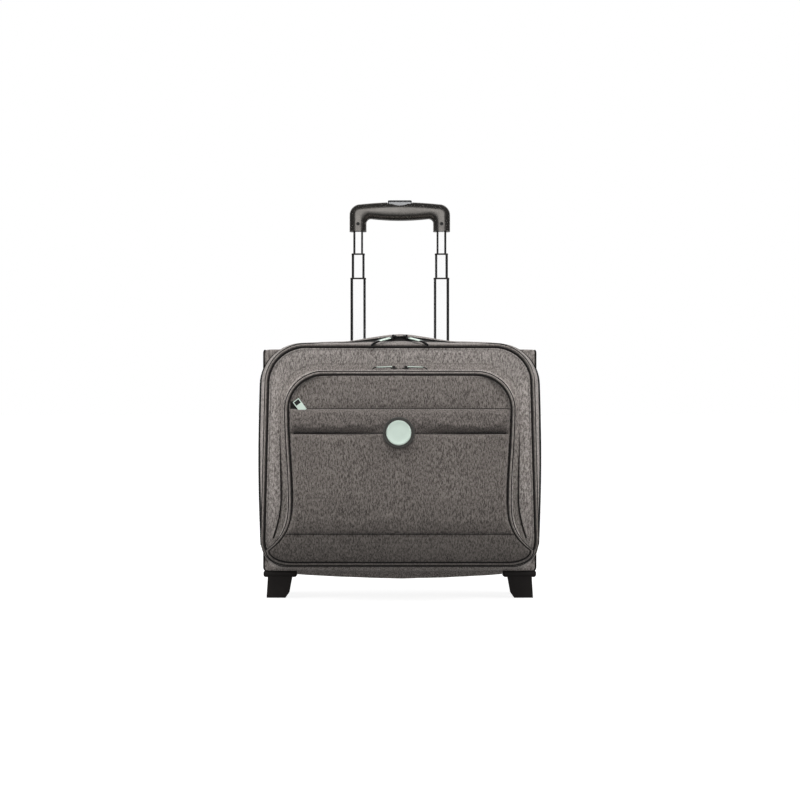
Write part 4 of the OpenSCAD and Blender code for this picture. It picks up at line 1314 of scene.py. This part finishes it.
# %% Hubs and tyres
tyre_profile = [(22, -10), (25.5, -10.6), (28.2, -9.8), (29.5, -8), (29.9, -5.2), (29.9, -3.8), (28.9, -3.5),
                (28.9, -2.7), (29.9, -2.4), (30, 0)]
tyre_profile += [(r, -h) for r, h in tyre_profile[-2::-1]]
hub_profile = [(4.1, -11), (8.6, -11), (9, -10.6), (9.4, -8), (11, -4.4), (17.6, -4.4), (19.6, -9.4), (20.2, -10),
               (21.9, -10)]
hub_profile += [(r, -h) for r, h in hub_profile[::-1]]
for sign, side in SIDES:
    axle = (sign * axle_x, axle_y, axle_z)
    tyre = turned("tyre_ring_" + side, axle, (1, 0, 0), tyre_profile, 96, True)
    sew(tyre, "wheel_" + side, "tyre_rubber", "tyre_" + side)
    ribs = []
    for i in range(6):
        for face in (-1, 1):
            rib = boxed("rib", (face * 6.6 - 2.4, -1.3, 9), (face * 6.6 + 2.4, 1.3, 19.4), 0.4)
            rib.data.transform(turn(60 * i, "X"))
            rib.data.transform(Matrix.Translation(Vector(axle) * MM))
            ribs.append(rib)
    hub = turned("hub_core_" + side, axle, (1, 0, 0), hub_profile, 64, True)
    sew(joined("hub_wheel_" + side, [hub] + ribs), "wheel_" + side, "hub_plastic", "hub_" + side)

# %% [markdown]
# ## Back, carrying handle and inside
# The back is a padded panel with two stitched channels. The low carrying handle on top is a padded strap,
# thicker in the middle than at its sewn ends. Inside, a padded wall with a strap holds the laptop.

# %% Back panel
def back_spot(x, z):
    edge = min(208 - abs(x), z - 36, 380 - z)
    channel = min(abs(abs(x) - 120), 9) / 9
    return y_rear + 0.6 + 2.0 * (1 - math.exp(-max(edge, 0) / 8)) * (0.35 + 0.65 * channel)


back_rings = [ring(rear_outline(d), y) for d, y in ((-1.2, 93.0), (-3, 93.9), (-6, 94.4))]
core = rear_outline(-6)
for scale in (0.94, 0.86, 0.78, 0.7, 0.62, 0.54, 0.46, 0.38, 0.28, 0.16, 0):
    back_rings.append([(x, back_spot(x, z), z) for x, z in drawn_in(core, scale, 211)])
inside = [[(x, 91.6, z) for x, y, z in points] for points in back_rings]
back_pad = loft("back_pad", back_rings[::-1] + inside, closed=False, smooth=60)
clear_wheels(back_pad)
rumple(back_pad, 60, 0.8)
sew(back_pad, "case", "case_cloth", "back_panel")
for name, inset in (("outer", 16), ("inner", 20)):
    border = [(x, back_spot(x, z) + 0.1, z) for x, z in rear_outline(-inset)]
    stitches("back_stitches_" + name, border + border[:1], "case", (0, 1, 0))

# %% Carrying handle
def strap_rings(path, width, thick, corner, y):
    def blunt(part):
        return math.copysign(abs(part) ** corner, part) / 2

    spots = [Vector((x, y, z)) for x, z, w, t in path]
    rings = []
    for i, (x, z, w, t) in enumerate(path):
        ahead = heading(spots, i)
        across, up = Vector((0, width * w, 0)), Vector((-ahead.z, 0, ahead.x)) * thick * t
        turns = [math.tau * j / 20 for j in range(20)]
        rings.append([spots[i] + across * blunt(math.cos(a)) + up * blunt(math.sin(a)) for a in turns])
    first, last = ([sum(end, Vector()) / 20] * 20 for end in (rings[0], rings[-1]))
    return [first] + rings + [last]


path = [(-98, 381.2, 0.86, 0.3), (-93, 381.3, 0.86, 0.3)]
for i in range(33):
    t = -1 + i / 16
    swell = 1 - t ** 4
    path.append((t * 88, 381.6 + 13 * (1 - t * t) ** 1.2, between(0.86, 1, swell), between(0.3, 1, swell)))
path += [(-x, *rest) for x, *rest in path[1::-1]]
carry = loft("carry_handle", strap_rings(path, 28, 6, 0.6, 26), closed=False, smooth=70)
sew(carry, "case", "webbing", "grab_handle")

# %% Inside
def soft_panel(name, half, low, high, y_front, y_rear, corner, bulge):
    def outline(d):
        return rounded_box((-half - d, low - d), (half + d, high + d), corner + d, 10, -90)

    deep, middle = (y_rear - y_front) / 2, (y_rear + y_front) / 2
    rows = [(outline(-inset), share * deep) for inset, share in ((0, 0), (0.6, 0.55), (2, 0.85), (5, 1))]
    core = rows[-1][0]
    for scale in (0.8, 0.5, 0.25, 0):
        rows.append((drawn_in(core, scale, (low + high) / 2), deep + bulge * (1 - scale)))
    front = [ring(points, middle - lift) for points, lift in rows]
    rear = [ring(points, middle + lift) for points, lift in rows]
    return loft(name, front[::-1] + rear[1:], closed=False, smooth=60)


divider = soft_panel("laptop_wall", 195.5, 48.9, 330, 14.4, 21.6, 25, 0.3)
sew(divider, "case", "lining_cloth", "laptop_divider")
lining = soft_panel("lining_wall", 195.5, 68.5, 371.5, 58.2, 60.8, 10, 0.1)
sew(lining, "case", "lining_cloth", "lining_panel")
softened("base_board", "floor_board", 1.0, "lining_cloth")
softened("laptop_strap", "laptop_band", 0.8, "webbing")

# %% Finishes of the solids that stay
for node, look in (("fixed_tubes", "tube_metal"), ("axles", "steel"), ("foot_screws", "steel"),
                   ("grip_screws", "slider_black"), ("push_rods", "steel")):
    solid = bpy.data.objects[node]
    for place in solid.material_slots:
        place.material = looks[look][0]
    if not solid.material_slots:
        solid.data.materials.append(looks[look][0])
print("materials on the solids that stay")
